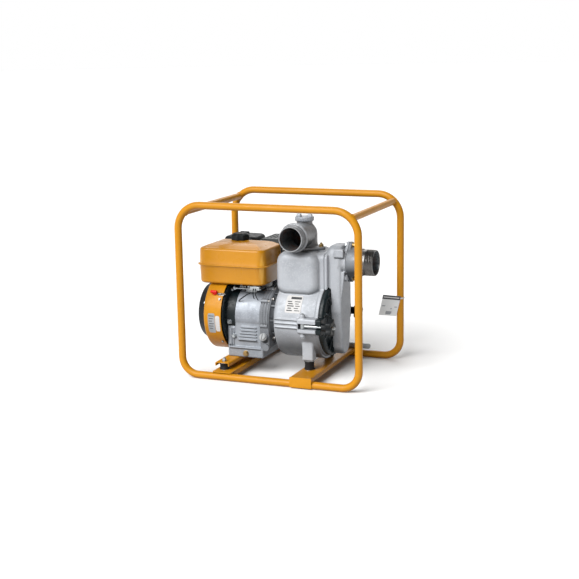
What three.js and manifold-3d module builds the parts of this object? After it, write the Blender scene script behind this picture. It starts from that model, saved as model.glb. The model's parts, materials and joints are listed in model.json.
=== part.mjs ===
// Engine-driven centrifugal pump carried in a tubular frame.
// Units are millimetres and +Z is up. The origin lies on the ground under the middle of the frame.
// +X points to the suction port and -Y to the side that the outlet and the fuel tank face.
import * as THREE from 'three';
import { mergeVertices } from 'three/addons/utils/BufferGeometryUtils.js';
import ManifoldModule from 'manifold-3d';

const wasm = await ManifoldModule();
wasm.setup();

// ---------------------------------------------------------------- driving dimensions
const GAP = 0.3; // gap between pieces that touch
const FRAME = { width: 642, depth: 454, height: 585.3, tube: 12.7, topBend: 82, bottomBend: 60 };
const TUBE_SIDES = 12;
const CRANK = { y: -40, z: 200 }; // crankshaft and pump shaft axis, parallel to X
const SHEET = 3.2; // wall of the folded steel rails

const PUMP_RAIL = { x: [82, 160], z: [25.8, 39], lip: 4 };
const ENGINE_RAIL = { x: [-205, -135], z: [14, 31] };
const BRACKET = { x: [-203, -152], y: [-215, 160], z: [46, 59.7] };
const MOUNT = { radius: 17.5, engineX: -177, engineY: [-196, 141], pumpX: 112, pumpY: [-134, 54] };

const BLOCK = { x: [-166, -72], radius: 88, wall: 8, footX: -196, shoulderZ: 168 };
const BASE = { x: [-195, -62], y: [-127, 70], z: [60, 96] };
const CYLINDER = { tilt: 25, centreX: -135, deck: 150, head: 196, rocker: 232, bore: 33 };
const PTO = { x: [-71.7, -38], radius: 92 };
const BLOWER = { x: [-267, -200], radius: 130, wall: 2.4, topZ: 309.5 };
const RECOIL = { radius: 112, depth: 43, ropeZ: 52.4, x: -285 };
const TANK = { x: [-303, -53], y: [-130, 50], z: [313, 452], seam: 379, corner: 32, wall: 2.5 };
const CAP = { x: -190, y: -12, radius: 33.5 };
const FILTER = { x: [-300, -170], y: [66, 186], z: [352, 398, 450] };
const GUARD = { x: [-156, -8], y: [70, 190], z: [346, 445], wall: 2 };

const CASING = { x: [-10, 157], radius: 124, flange: 128, wall: 11, bottomZ: 61 };
const CHAMBER = { x: [-12, 141], y: [-128, 48], z: [284, 437], corner: 34 };
const RIM = { y: [-105, 25], z: [270, 433], corner: 20 }; // joint face between the casing and the suction duct
const COVER = { x: [157.3, 176], radius: 126.5, top: 312 };
const CLAMP = { reach: 140, lugHalf: 27, pinX: 107, rodRadius: 6, knobX: [176.3, 215] };
const DUCT = { x: [176.3, 212], y: [-93, 13], top: 459, bottom: 118, taperZ: 235 };
const SUCTION = { z: 400, bore: 38, pipe: 44.3, flangeX: 228, end: 319, ear: 56 };
const OUTLET = { x: 64, z: 488, bore: 38, pipe: 43, end: -171, ear: 60 };

// ---------------------------------------------------------------- solids and booleans
const toSolid = (geometry) => {
  const plain = geometry.clone();
  plain.deleteAttribute('normal');
  plain.deleteAttribute('uv');
  const merged = mergeVertices(plain, 1e-4);
  return new wasm.Manifold(new wasm.Mesh({
    numProp: 3,
    vertProperties: new Float32Array(merged.attributes.position.array),
    triVerts: new Uint32Array(merged.index.array),
  }));
};

const toGeometry = (solid) => {
  const mesh = solid.getMesh();
  const geometry = new THREE.BufferGeometry();
  geometry.setAttribute('position', new THREE.BufferAttribute(new Float32Array(mesh.vertProperties), 3));
  geometry.setIndex(new THREE.BufferAttribute(new Uint32Array(mesh.triVerts), 1));
  const flat = geometry.toNonIndexed();
  flat.computeVertexNormals();
  return flat;
};

const join = (...solids) => solids.flat().reduce((sum, next) => sum.add(next));
const cut = (body, ...tools) => tools.flat().reduce((rest, tool) => rest.subtract(tool), body);

// ---------------------------------------------------------------- primitive shapes
const box = (x, y, z) => {
  const geometry = new THREE.BoxGeometry(x[1] - x[0], y[1] - y[0], z[1] - z[0]);
  geometry.translate((x[0] + x[1]) / 2, (y[0] + y[1]) / 2, (z[0] + z[1]) / 2);
  return toSolid(geometry);
};

// More sides on larger rounds.
const sidesFor = (radius) => Math.min(28, 8 + 4 * Math.floor(radius / 15));

// A cylinder along one axis; centre holds the two other coordinates in alphabetical order.
const cylinder = (axis, radius, span, centre, sides = sidesFor(radius), endRadius = radius) => {
  const geometry = new THREE.CylinderGeometry(endRadius, radius, span[1] - span[0], sides);
  geometry.rotateY(Math.PI / sides);
  const middle = (span[0] + span[1]) / 2;
  if (axis === 'x') geometry.rotateZ(-Math.PI / 2).translate(middle, centre[0], centre[1]);
  if (axis === 'y') geometry.translate(centre[0], middle, centre[1]);
  if (axis === 'z') geometry.rotateX(Math.PI / 2).translate(centre[0], centre[1], middle);
  return toSolid(geometry);
};

const onCrank = (radius, span, endRadius = radius) => (
  cylinder('x', radius, span, [CRANK.y, CRANK.z], sidesFor(radius), endRadius)
);

// Prisms: the outline lies in the plane across the axis and runs over the span.
const PRISM_FRAMES = {
  x: new THREE.Matrix4().set(0, 0, 1, 0, 1, 0, 0, 0, 0, 1, 0, 0, 0, 0, 0, 1),
  y: new THREE.Matrix4().set(1, 0, 0, 0, 0, 0, -1, 0, 0, 1, 0, 0, 0, 0, 0, 1),
  z: new THREE.Matrix4(),
};
const prism = (axis, shape, span, { bevel = 0, curve = 2, bevelSteps = 2 } = {}) => {
  const length = span[1] - span[0];
  const geometry = new THREE.ExtrudeGeometry(shape, {
    depth: length - 2 * bevel,
    bevelEnabled: bevel > 0,
    bevelThickness: bevel,
    bevelSize: bevel,
    bevelOffset: -bevel,
    bevelSegments: bevelSteps,
    curveSegments: curve,
  });
  geometry.translate(0, 0, bevel);
  geometry.applyMatrix4(PRISM_FRAMES[axis]);
  const shift = axis === 'y' ? span[1] : span[0];
  geometry.translate(axis === 'x' ? shift : 0, axis === 'y' ? shift : 0, axis === 'z' ? shift : 0);
  return toSolid(geometry);
};

const roundedRectangle = (u, v, radius) => {
  const shape = new THREE.Shape();
  shape.absarc(u[1] - radius, v[1] - radius, radius, 0, Math.PI / 2);
  shape.absarc(u[0] + radius, v[1] - radius, radius, Math.PI / 2, Math.PI);
  shape.absarc(u[0] + radius, v[0] + radius, radius, Math.PI, 1.5 * Math.PI);
  shape.absarc(u[1] - radius, v[0] + radius, radius, 1.5 * Math.PI, 2 * Math.PI);
  shape.closePath();
  return shape;
};

// Solid of revolution about an axis parallel to X. Profile points are [x, radius].
const turnedAlongX = (profile, centre, sides = 32) => {
  const points = profile.map(([x, radius]) => new THREE.Vector2(radius, x));
  const geometry = new THREE.LatheGeometry(points, sides);
  geometry.rotateZ(-Math.PI / 2);
  geometry.translate(0, centre[0], centre[1]);
  return toSolid(geometry);
};

// ---------------------------------------------------------------- bent tubes
// A route through corner points with round bends, sampled at exact stations.
class BentRoute extends THREE.Curve {
  constructor(corners, bends, stepsPerBend) {
    super();
    this.stations = [];
    const start = corners[0];
    const first = new THREE.Vector3().subVectors(corners[1], start).normalize();
    this.stations.push({ point: start.clone(), tangent: first });
    for (let i = 1; i < corners.length - 1; i += 1) {
      this.addBend(corners[i - 1], corners[i], corners[i + 1], bends[i - 1], stepsPerBend);
    }
    const end = corners[corners.length - 1];
    const last = new THREE.Vector3().subVectors(end, corners[corners.length - 2]).normalize();
    this.stations.push({ point: end.clone(), tangent: last });
  }

  addBend(before, corner, after, radius, steps) {
    const incoming = new THREE.Vector3().subVectors(corner, before).normalize();
    const outgoing = new THREE.Vector3().subVectors(after, corner).normalize();
    const turn = incoming.angleTo(outgoing);
    const inward = outgoing.clone().addScaledVector(incoming, -Math.cos(turn)).normalize();
    const begin = corner.clone().addScaledVector(incoming, -radius * Math.tan(turn / 2));
    for (let k = 0; k <= steps; k += 1) {
      const angle = (turn * k) / steps;
      const point = begin.clone()
        .addScaledVector(incoming, radius * Math.sin(angle))
        .addScaledVector(inward, radius * (1 - Math.cos(angle)));
      const tangent = incoming.clone().multiplyScalar(Math.cos(angle))
        .addScaledVector(inward, Math.sin(angle));
      this.stations.push({ point, tangent });
    }
  }

  get steps() { return this.stations.length - 1; }

  getPointAt(u, target = new THREE.Vector3()) {
    return target.copy(this.stations[Math.round(u * this.steps)].point);
  }

  getTangentAt(u, target = new THREE.Vector3()) {
    return target.copy(this.stations[Math.round(u * this.steps)].tangent);
  }
}

// Round section whose flats, not its corners, lie at the radius.
const roundSection = (radius, sides) => {
  const outer = radius / Math.cos(Math.PI / sides);
  const points = [];
  for (let i = 0; i < sides; i += 1) {
    const angle = ((i + 0.5) * 2 * Math.PI) / sides;
    points.push(new THREE.Vector2(outer * Math.cos(angle), outer * Math.sin(angle)));
  }
  return new THREE.Shape(points);
};

const tubeGeometry = (points, bends, radius, sides, stepsPerBend) => {
  const corners = points.map((p) => new THREE.Vector3(...p));
  const route = new BentRoute(corners, bends, stepsPerBend);
  return new THREE.ExtrudeGeometry(roundSection(radius, sides), {
    steps: route.steps,
    extrudePath: route,
    bevelEnabled: false,
  });
};

const bentTube = (points, bends, radius, sides = TUBE_SIDES, stepsPerBend = 5) => (
  toSolid(tubeGeometry(points, bends, radius, sides, stepsPerBend))
);

// A route that ends where it starts needs no lids: only the side wall is kept and its ends meet.
const closedTube = (points, bends, radius, sides = TUBE_SIDES, stepsPerBend = 5) => {
  const whole = tubeGeometry(points, bends, radius, sides, stepsPerBend);
  const wall = whole.groups[1];
  const positions = whole.attributes.position.array.slice(3 * wall.start, 3 * (wall.start + wall.count));
  const geometry = new THREE.BufferGeometry();
  geometry.setAttribute('position', new THREE.BufferAttribute(positions, 3));
  return toSolid(geometry);
};

// ---------------------------------------------------------------- materials and nodes
const PAINT = { color: 0xe0962a, roughness: 0.35, metalness: 0 };
const ALUMINIUM = { color: 0xb9bcc0, roughness: 0.5, metalness: 1 };
const STEEL = { color: 0xa9a9a6, roughness: 0.35, metalness: 1 };
const BRASS = { color: 0xb59a55, roughness: 0.35, metalness: 1 };
const BLACK_METAL = { color: 0x23292c, roughness: 0.45, metalness: 0 };
const BLACK_PLASTIC = { color: 0x1d2123, roughness: 0.55, metalness: 0 };
const RUBBER = { color: 0x161819, roughness: 0.85, metalness: 0 };
const RED_PLASTIC = { color: 0xc8332c, roughness: 0.4, metalness: 0 };
const PAPER = { color: 0xd9d9d4, roughness: 0.8, metalness: 0 };

const assembly = new THREE.Group();
assembly.name = 'engine_pump';

const addNode = (name, solid, look) => {
  const mesh = new THREE.Mesh(toGeometry(solid), new THREE.MeshStandardMaterial(look));
  mesh.name = name;
  assembly.add(mesh);
};

// ---------------------------------------------------------------- frame
const frameHalfX = FRAME.width / 2;
const frameHalfY = FRAME.depth / 2;
const frameBottom = FRAME.tube;
const frameTop = FRAME.tube + FRAME.height;

const loopSolid = (y, radius) => {
  const { bottomBend, topBend } = FRAME;
  return closedTube([
    [0, y, frameBottom],
    [frameHalfX, y, frameBottom],
    [frameHalfX, y, frameTop],
    [-frameHalfX, y, frameTop],
    [-frameHalfX, y, frameBottom],
    [0, y, frameBottom],
  ], [bottomBend, topBend, topBend, bottomBend], radius);
};

const crossTubeSolid = (side) => {
  const inset = FRAME.topBend * (1 - Math.SQRT1_2);
  const x = side * (frameHalfX - inset);
  const z = frameTop - inset;
  const tube = bentTube([[x, -frameHalfY, z], [x, frameHalfY, z]], [], FRAME.tube * 0.95);
  const clearance = FRAME.tube + GAP;
  return cut(tube, loopSolid(-frameHalfY, clearance), loopSolid(frameHalfY, clearance));
};

const buildFrame = () => {
  addNode('frame_front_loop', loopSolid(-frameHalfY, FRAME.tube), PAINT);
  addNode('frame_rear_loop', loopSolid(frameHalfY, FRAME.tube), PAINT);
  addNode('cross_tube_left', crossTubeSolid(-1), PAINT);
  addNode('cross_tube_right', crossTubeSolid(1), PAINT);
};

// ---------------------------------------------------------------- rails, bracket and mounts
const grow = (span, by) => [span[0] - by, span[1] + by];

const buildRails = () => {
  const lipInside = frameHalfY + FRAME.tube + GAP;
  const lipOutside = lipInside + SHEET;
  const { x, z, lip } = PUMP_RAIL;
  const channel = cut(
    box(x, [-lipOutside, lipOutside], z),
    box(grow(x, -SHEET), [-lipInside, lipInside], [z[0] - 1, z[1] - SHEET]),
  );
  const frontLip = box(x, [-lipOutside, -lipInside], [lip, z[1]]);
  const rearLip = box(x, [lipInside, lipOutside], [lip, z[1]]);
  addNode('pump_rail', join(channel, frontLip, rearLip), PAINT);

  const railX = ENGINE_RAIL.x;
  const [low, high] = ENGINE_RAIL.z;
  const inside = frameHalfY - FRAME.tube - 1;
  const topPlate = box(railX, [-frameHalfY - 9, frameHalfY + 9], [high - SHEET, high]);
  const leftSide = box([railX[0], railX[0] + SHEET], [-inside, inside], [low, high]);
  const rightSide = box([railX[1] - SHEET, railX[1]], [-inside, inside], [low, high]);
  addNode('engine_rail', join(topPlate, leftSide, rightSide), PAINT);

  const bracket = cut(
    box(BRACKET.x, BRACKET.y, BRACKET.z),
    box(grow(BRACKET.x, -SHEET), grow(BRACKET.y, 1), [BRACKET.z[0] - 1, BRACKET.z[1] - SHEET]),
  );
  addNode('engine_bracket', bracket, PAINT);
};

const rubberMount = (x, y, z, radius) => {
  const middle = (z[0] + z[1]) / 2;
  const collar = 4;
  return join(
    cylinder('z', radius, [z[0], z[0] + collar], [x, y]),
    cylinder('z', radius * 0.9, [z[0] + collar / 2, middle + collar], [x, y]),
    cylinder('z', radius * 0.9, [middle, z[1] - collar / 2], [x, y]),
    cylinder('z', radius, [z[1] - collar, z[1]], [x, y]),
  );
};

const buildMounts = () => {
  const engineZ = [ENGINE_RAIL.z[1] + GAP, BRACKET.z[1] - SHEET - GAP];
  const pumpZ = [PUMP_RAIL.z[1] + GAP, 71.7];
  ['front', 'rear'].forEach((end, i) => {
    const engineY = MOUNT.engineY[i];
    addNode(`engine_mount_${end}`, rubberMount(MOUNT.engineX, engineY, engineZ, MOUNT.radius), RUBBER);
    addNode(`pump_mount_${end}`, rubberMount(MOUNT.pumpX, MOUNT.pumpY[i], pumpZ, MOUNT.radius + 1), RUBBER);
  });
};

const buildFrameTrim = () => {
  const barRadius = 9.5;
  const barZ = [PUMP_RAIL.z[1] + GAP, PUMP_RAIL.z[1] + GAP + 2 * barRadius];
  const bar = roundedRectangle([112, 219], barZ, barRadius);
  addNode('rear_stop_bar', prism('y', bar, [192, 200]), STEEL);

  // The card hangs askew in front of the rear loop's tube, from a tie that goes round the tube.
  const tube = [frameHalfX, frameHalfY];
  const tie = cut(
    cylinder('z', FRAME.tube + 2.8, [226, 231], tube, 16),
    cylinder('z', FRAME.tube + 1.3, [225, 232], tube, 16),
  );
  const cardShape = new THREE.Shape([
    new THREE.Vector2(245, 163.5), new THREE.Vector2(310.6, 163.3),
    new THREE.Vector2(327.9, 236.3), new THREE.Vector2(261.7, 237.9),
  ]);
  const cardFront = frameHalfY - FRAME.tube - 2.3;
  const card = prism('y', cardShape, [cardFront, cardFront + 1.4]);
  addNode('info_tag', join(card, tie), PAPER);
};

// ---------------------------------------------------------------- engine
// Solids drawn along +X from the crank axis are turned to the cylinder's slant and set in place.
const placeOnCylinder = (solid) => (
  solid.rotate([0, 0, 90]).rotate([CYLINDER.tilt, 0, 0]).translate([CYLINDER.centreX, CRANK.y, CRANK.z])
);
const slantedBox = (along, halfWidth, normal) => (
  placeOnCylinder(box(along, [-halfWidth, halfWidth], normal))
);
const fins = (from, to, pitch, halfWidth, halfHeight) => {
  const plates = [];
  for (let s = from; s <= to; s += pitch) {
    plates.push(slantedBox([s, s + 3], halfWidth, [-halfHeight, halfHeight]));
  }
  return plates;
};

const caseOutline = (radius, front, back, bottom) => {
  const startAngle = Math.asin((0 - 20) / radius);
  const shape = new THREE.Shape();
  shape.moveTo(front, bottom);
  shape.lineTo(back, bottom);
  shape.absarc(CRANK.y, CRANK.z, radius, startAngle, Math.PI - startAngle);
  shape.closePath();
  return shape;
};

const buildBlock = () => {
  const outline = caseOutline(BLOCK.radius, -122, 40, BASE.z[1] - 2);
  const body = prism('x', outline, BLOCK.x, { curve: 9 });
  const foot = box([BLOCK.footX, BLOCK.x[0] + 1], [-122, 40], [BASE.z[1] - 2, BLOCK.shoulderZ]);
  const base = box(BASE.x, BASE.y, BASE.z);
  const ledge = box(grow(BASE.x, -8), [-130, -110], [BASE.z[1] - 6, BASE.z[1]]);
  const ribs = [];
  for (let z = 112; z < 160; z += 13) {
    ribs.push(box([-172, -92], [-128, -118], [z, z + 4.5]));
  }
  const barrel = slantedBox([60, CYLINDER.deck], 42, [-44, 44]);
  const cylinderFins = fins(94, 146, 9, 52, 54);
  const solid = join(body, foot, base, ledge, ribs, barrel, cylinderFins);
  const innerX = BLOCK.x[0] + BLOCK.wall;
  const crankSpace = onCrank(68, [innerX, BLOCK.x[1] + 1]);
  const sump = box([innerX, BLOCK.x[1] + 1], [-110, 28], [BASE.z[0] + 10, 160]);
  const shaftHole = onCrank(17, [BLOCK.x[0] - 1, innerX + 1]);
  const bore = placeOnCylinder(cylinder('x', CYLINDER.bore, [20, CYLINDER.deck + 1], [0, 0]));
  addNode('engine_block', cut(solid, crankSpace, sump, shaftHole, bore), ALUMINIUM);

  const coverOutline = caseOutline(PTO.radius, -125, 46, BASE.z[1] + GAP);
  const shell = prism('x', coverOutline, PTO.x, { curve: 9, bevel: 3, bevelSteps: 1 });
  const bands = [-64, -54, -44].map((x) => cut(
    onCrank(PTO.radius + 2.5, [x, x + 3.5]),
    box([x - 1, x + 5], [-160, 80], [90, 182]),
  ));
  const shelf = box([PTO.x[0], -43], [-134, -118], [172, 180]);
  const plugNeck = cylinder('y', 12, [-20, 12], [0, 0])
    .rotate([-30, 0, 0]).translate([-54, -122, 129]);
  const inside = onCrank(62, [PTO.x[0] - 1, PTO.x[1] - 12]);
  addNode('pto_cover', cut(join(shell, bands, shelf, plugNeck), inside, onCrank(17, [-80, -30])), ALUMINIUM);
};

const buildPlugs = () => {
  const slot = box([-2, 2], [-14, 14], [9, 14]);
  const oilPlug = cut(join(cylinder('z', 13.5, [GAP, 7], [0, 0]), cylinder('z', 11, [6, 12], [0, 0])), slot)
    .rotate([60, 0, 0]).translate([-54, -122 - 20 * Math.cos(Math.PI / 6), 129 + 20 * Math.sin(Math.PI / 6)]);
  addNode('oil_plug', oilPlug, { ...ALUMINIUM, color: 0xd8d8d2 });
  const drain = join(
    cylinder('y', 8, [-136, BASE.y[0] - GAP], [-126, 74], 6),
    cylinder('y', 10, [-129, BASE.y[0] - GAP], [-126, 74]),
  );
  addNode('oil_drain_bolt', drain, BRASS);
};

const buildHead = () => {
  const from = CYLINDER.deck + GAP;
  const core = slantedBox([from, CYLINDER.head], 46, [-46, 46]);
  const head = join(core, fins(from + 8, CYLINDER.head - 8, 9, 54, 54));
  const chamber = placeOnCylinder(cylinder('x', 30, [from - 1, from + 12], [0, 0]));
  addNode('cylinder_head', cut(head, chamber), ALUMINIUM);
  const outline = roundedRectangle([-42, 42], [-38, 38], 12);
  const lid = prism('x', outline, [CYLINDER.head + GAP, CYLINDER.rocker], { bevel: 5, bevelSteps: 1 });
  const hollow = box([CYLINDER.head - 1, CYLINDER.rocker - 6], [-34, 34], [-30, 30]);
  addNode('rocker_cover', placeOnCylinder(cut(lid, hollow)), ALUMINIUM);
};

// A point given along the cylinder axis and square to it, in the YZ plane.
const onSlant = (along, normal) => {
  const tilt = THREE.MathUtils.degToRad(CYLINDER.tilt);
  return [
    CRANK.y + along * Math.cos(tilt) - normal * Math.sin(tilt),
    CRANK.z + along * Math.sin(tilt) + normal * Math.cos(tilt),
  ];
};

const buildIgnition = () => {
  const centre = onSlant(178, -34);
  const faceX = CYLINDER.centreX - 54 - GAP;
  const plug = join(
    cylinder('x', 10, [faceX - 8, faceX], centre, 6),
    cylinder('x', 5, [faceX - 22, faceX - 7], centre),
  );
  addNode('spark_plug', plug, STEEL);
  const capX = [faceX - 40, faceX - 22 - GAP];
  const lead = bentTube(
    [[capX[0] + 8, ...centre], [capX[0] - 12, ...centre], [capX[0] - 12, 116, 232], [capX[0] - 12, 87, 232]],
    [10, 16],
    3.5,
    8,
    3,
  );
  addNode('ignition_lead', join(cylinder('x', 9, capX, centre), lead), RUBBER);
};

// ---------------------------------------------------------------- cooling fan and starter
const buildBlower = () => {
  const { x, radius, wall, topZ } = BLOWER;
  const drum = (inset, span) => onCrank(radius - inset, span);
  const duct = (inset, span) => box(span, [CRANK.y, 76 - inset], [136 + inset, 320]);
  const outside = join(drum(0, x), duct(0, x));
  const openX = [x[0] + wall, x[1] + 1];
  const inside = join(drum(wall, openX), duct(wall, openX));
  const above = (z) => box([x[0] - 2, x[1] + 10], [-220, 140], [z, 400]);
  const shell = cut(cut(outside, above(topZ)), cut(inside, above(topZ - wall)));
  const starterHole = onCrank(RECOIL.radius - 8, [x[0] - 1, x[0] + wall + 1]);
  addNode('blower_housing', cut(shell, starterHole), PAINT);
  const discX = [x[1], BLOCK.footX - GAP];
  const disc = cut(onCrank(radius - 8, discX), above(topZ - 8));
  // The baffle closes the gap to the crankcase above its foot and in front of the cylinder.
  const baffle = cut(
    onCrank(BLOCK.radius, [x[1] + 1, BLOCK.x[0] - GAP]),
    onCrank(BLOCK.radius - 6, [x[1], BLOCK.x[0]]),
    box([x[1], BLOCK.x[0]], [-14, 200], [0, 400]),
    box([x[1], BLOCK.x[0]], [-200, 200], [0, BLOCK.shoulderZ + GAP]),
  );
  const backplate = cut(join(disc, baffle), onCrank(24, grow(discX, 1)));
  addNode('blower_backplate', backplate, BLACK_METAL);
};

const buildStarter = () => {
  const base = BLOWER.x[0] - GAP;
  const outer = base - RECOIL.depth;
  const centre = [CRANK.y, CRANK.z];
  const cover = turnedAlongX([
    [outer, 0], [base - 41, 72], [base - 34, 95], [base - 8, 106], [base - 4, RECOIL.radius],
    [base, RECOIL.radius], [base, 102], [base - 6, 102], [base - 31, 91], [base - 37, 70],
    [outer + 3, 0],
  ], centre, 20);
  const spindle = onCrank(8, [outer + 2, base - 12]);
  const ropeCentre = [RECOIL.x, CRANK.z + RECOIL.ropeZ];
  const guide = cylinder('y', 9, [40, 66], ropeCentre);
  const slots = [];
  for (let i = 0; i < 8; i += 1) {
    const slot = box([outer - 5, base - 20], [-5, 5], [56, 82]);
    slots.push(slot.rotate([i * 45, 0, 0]).translate([0, CRANK.y, CRANK.z]));
  }
  const solid = join(cover, spindle, guide);
  const ropeHole = cylinder('y', 4, [20, 70], ropeCentre);
  addNode('recoil_cover', cut(solid, slots, ropeHole), BLACK_METAL);

  const pulleyX = [-291, -279];
  const pulley = join(
    onCrank(50, [pulleyX[0] + 3, pulleyX[1] - 3]),
    onCrank(49, [pulleyX[0], pulleyX[1]]),
  );
  addNode('starter_pulley', cut(pulley, onCrank(9, [-300, -270])), BLACK_PLASTIC);

  const gripOutline = roundedRectangle([RECOIL.x - 12, RECOIL.x + 12], [ropeCentre[1] - 52, ropeCentre[1] + 52], 10);
  const grip = prism('y', gripOutline, [66 + GAP, 92], { bevel: 6, bevelSteps: 1 });
  const rope = cylinder('y', 2.1, [CRANK.y, 70], ropeCentre, 8);
  addNode('recoil_grip', join(grip, rope), BLACK_PLASTIC);
};

const buildRotor = () => {
  const throwRadius = 29;
  const pin = cylinder('x', 15, [-144, -126], [CRANK.y, CRANK.z + throwRadius]);
  const web = (x) => join(
    box(x, [CRANK.y - 17, CRANK.y + 17], [CRANK.z - 20, CRANK.z + 46]),
    cut(onCrank(58, x, 24), box([x[0] - 1, x[1] + 1], [-120, 40], [CRANK.z - 14, 300])),
  );
  const shaft = join(
    onCrank(15, [-250, -143]),
    web([-156, -143.5]),
    pin,
    web([-126.5, -114]),
    onCrank(15, [-127, -12]),
    onCrank(12, [-13, 104]),
  );
  addNode('crankshaft', shaft, STEEL);

  const wheel = cut(onCrank(94, [-226, -208]), onCrank(76, [-218, -200]));
  const blades = [];
  for (let i = 0; i < 10; i += 1) {
    const blade = box([-246, -225], [-2, 2], [58, 92]).rotate([i * 36, 0, 0]);
    blades.push(blade.translate([0, CRANK.y, CRANK.z]));
  }
  const hub = onCrank(28, [-234, -208]);
  addNode('flywheel', cut(join(wheel, hub, blades), onCrank(15 + GAP, [-260, -200])), ALUMINIUM);

  const vanes = [0, 180].map((turn) => {
    const outline = new THREE.Shape();
    outline.absarc(22, 0, 40, Math.PI, 0.25 * Math.PI, true);
    outline.absarc(22, 0, 34, 0.25 * Math.PI, Math.PI, false);
    outline.closePath();
    return prism('x', outline, [96, 128], { curve: 5 }).rotate([turn, 0, 0])
      .translate([0, CRANK.y, CRANK.z]);
  });
  const plate = join(onCrank(64, [90, 97]), onCrank(22, [74, 106]), vanes);
  addNode('impeller', cut(plate, onCrank(12 + GAP, [60, 105])), { ...STEEL, color: 0x6d6f70 });
};

// ---------------------------------------------------------------- fuel, air and exhaust
const buildTank = () => {
  const { x, y, z, seam, corner, wall } = TANK;
  const plan = (inset) => roundedRectangle(grow(x, -inset), grow(y, -inset), corner - inset / 2);
  const body = prism('z', plan(0), z, { bevel: 16, bevelSteps: 3 });
  const flange = prism('z', plan(-7), [seam - 1.5, seam + 1.5]);
  const neck = cylinder('z', 24, [z[1] - 4, z[1] + 8], [CAP.x, CAP.y]);
  const hollow = prism('z', plan(wall), grow(z, -wall), { bevel: 14, bevelSteps: 1 });
  const filler = cylinder('z', 20, [z[1] - 10, z[1] + 10], [CAP.x, CAP.y]);
  addNode('fuel_tank', cut(join(body, flange, neck), hollow, filler), PAINT);

  const capBottom = z[1] + GAP;
  const lobes = [];
  for (let i = 0; i < 8; i += 1) {
    const angle = (i * Math.PI) / 4;
    const centre = [CAP.x + 28 * Math.cos(angle), CAP.y + 28 * Math.sin(angle)];
    lobes.push(cylinder('z', 7, [capBottom, capBottom + 17], centre));
  }
  const cap = join(
    cylinder('z', 30, [capBottom, capBottom + 20], [CAP.x, CAP.y]),
    cylinder('z', 30, [capBottom + 20, capBottom + 24], [CAP.x, CAP.y], sidesFor(30), 24),
    lobes,
  );
  addNode('fuel_cap', cut(cap, cylinder('z', 25.6, [capBottom - 1, capBottom + 10], [CAP.x, CAP.y])), BLACK_PLASTIC);

  const stand = cut(
    box([-188, -84], [-80, 18], [BLOCK.radius + CRANK.z + GAP, z[0] - GAP]),
    box([-184, -88], [-90, 30], [BLOCK.radius + CRANK.z - 1, z[0] - GAP - 3]),
  );
  addNode('tank_stand', stand, BLACK_METAL);
};

const buildIntake = () => {
  const port = onSlant(172, 18);
  const faceX = CYLINDER.centreX - 54 - GAP;
  const body = join(
    box([faceX - 8, faceX], [port[0] - 22, port[0] + 22], [port[1] - 18, port[1] + 18]),
    box([faceX - 36, faceX - 7], [port[0] - 16, port[0] + 16], [port[1] - 16, port[1] + 26]),
    cylinder('z', 14, [port[1] - 32, port[1] - 15], [faceX - 21, port[0]]),
    cylinder('z', 14.5, [port[1] + 24, FILTER.z[0] - GAP], [faceX - 21, port[0]]),
  );
  addNode('carburettor', body, ALUMINIUM);

  const leverX = [faceX - 36 - GAP - 3, faceX - 36 - GAP];
  const lever = (dy, dz, length) => join(
    cylinder('x', 5, leverX, [port[0] + dy, port[1] + dz]),
    box(leverX, [port[0] + dy - length, port[0] + dy], [port[1] + dz - 3, port[1] + dz + 3]),
  );
  addNode('choke_lever', lever(8, 16, 30), BLACK_PLASTIC);
  addNode('fuel_cock_lever', lever(8, -6, 24), BLACK_PLASTIC);

  const hoseX = -194;
  const hoseZ = port[1] + 10;
  const hose = bentTube(
    [[hoseX, 34, TANK.z[0] - GAP], [hoseX, 34, hoseZ], [hoseX, port[0] - 22 - GAP, hoseZ]],
    [8],
    3.6,
    8,
    3,
  );
  addNode('fuel_hose', hose, RUBBER);

  const shellZ = [FILTER.z[1] + GAP, FILTER.z[2]];
  const tray = roundedRectangle(FILTER.x, FILTER.y, 26);
  const innerTray = roundedRectangle(grow(FILTER.x, -3), grow(FILTER.y, -3), 24);
  const pan = cut(
    prism('z', tray, [FILTER.z[0], FILTER.z[1]], { bevel: 6, bevelSteps: 1 }),
    prism('z', innerTray, [FILTER.z[0] + 4, FILTER.z[1] + 1]),
  );
  addNode('air_cleaner_base', pan, BLACK_PLASTIC);
  const lid = cut(
    prism('z', tray, [shellZ[0] - 20, shellZ[1]], { bevel: 18, bevelSteps: 2 }),
    box([-400, 0], [0, 300], [300, shellZ[0]]),
    prism('z', innerTray, [shellZ[0] - 20, shellZ[1] - 3], { bevel: 16, bevelSteps: 1 }),
  );
  addNode('air_cleaner_cover', lid, BLACK_PLASTIC);
  const foam = roundedRectangle(grow(FILTER.x, -16), grow(FILTER.y, -16), 14);
  addNode('air_filter_element', prism('z', foam, [FILTER.z[0] + 4 + GAP, FILTER.z[2] - 24]), RUBBER);
};

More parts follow.
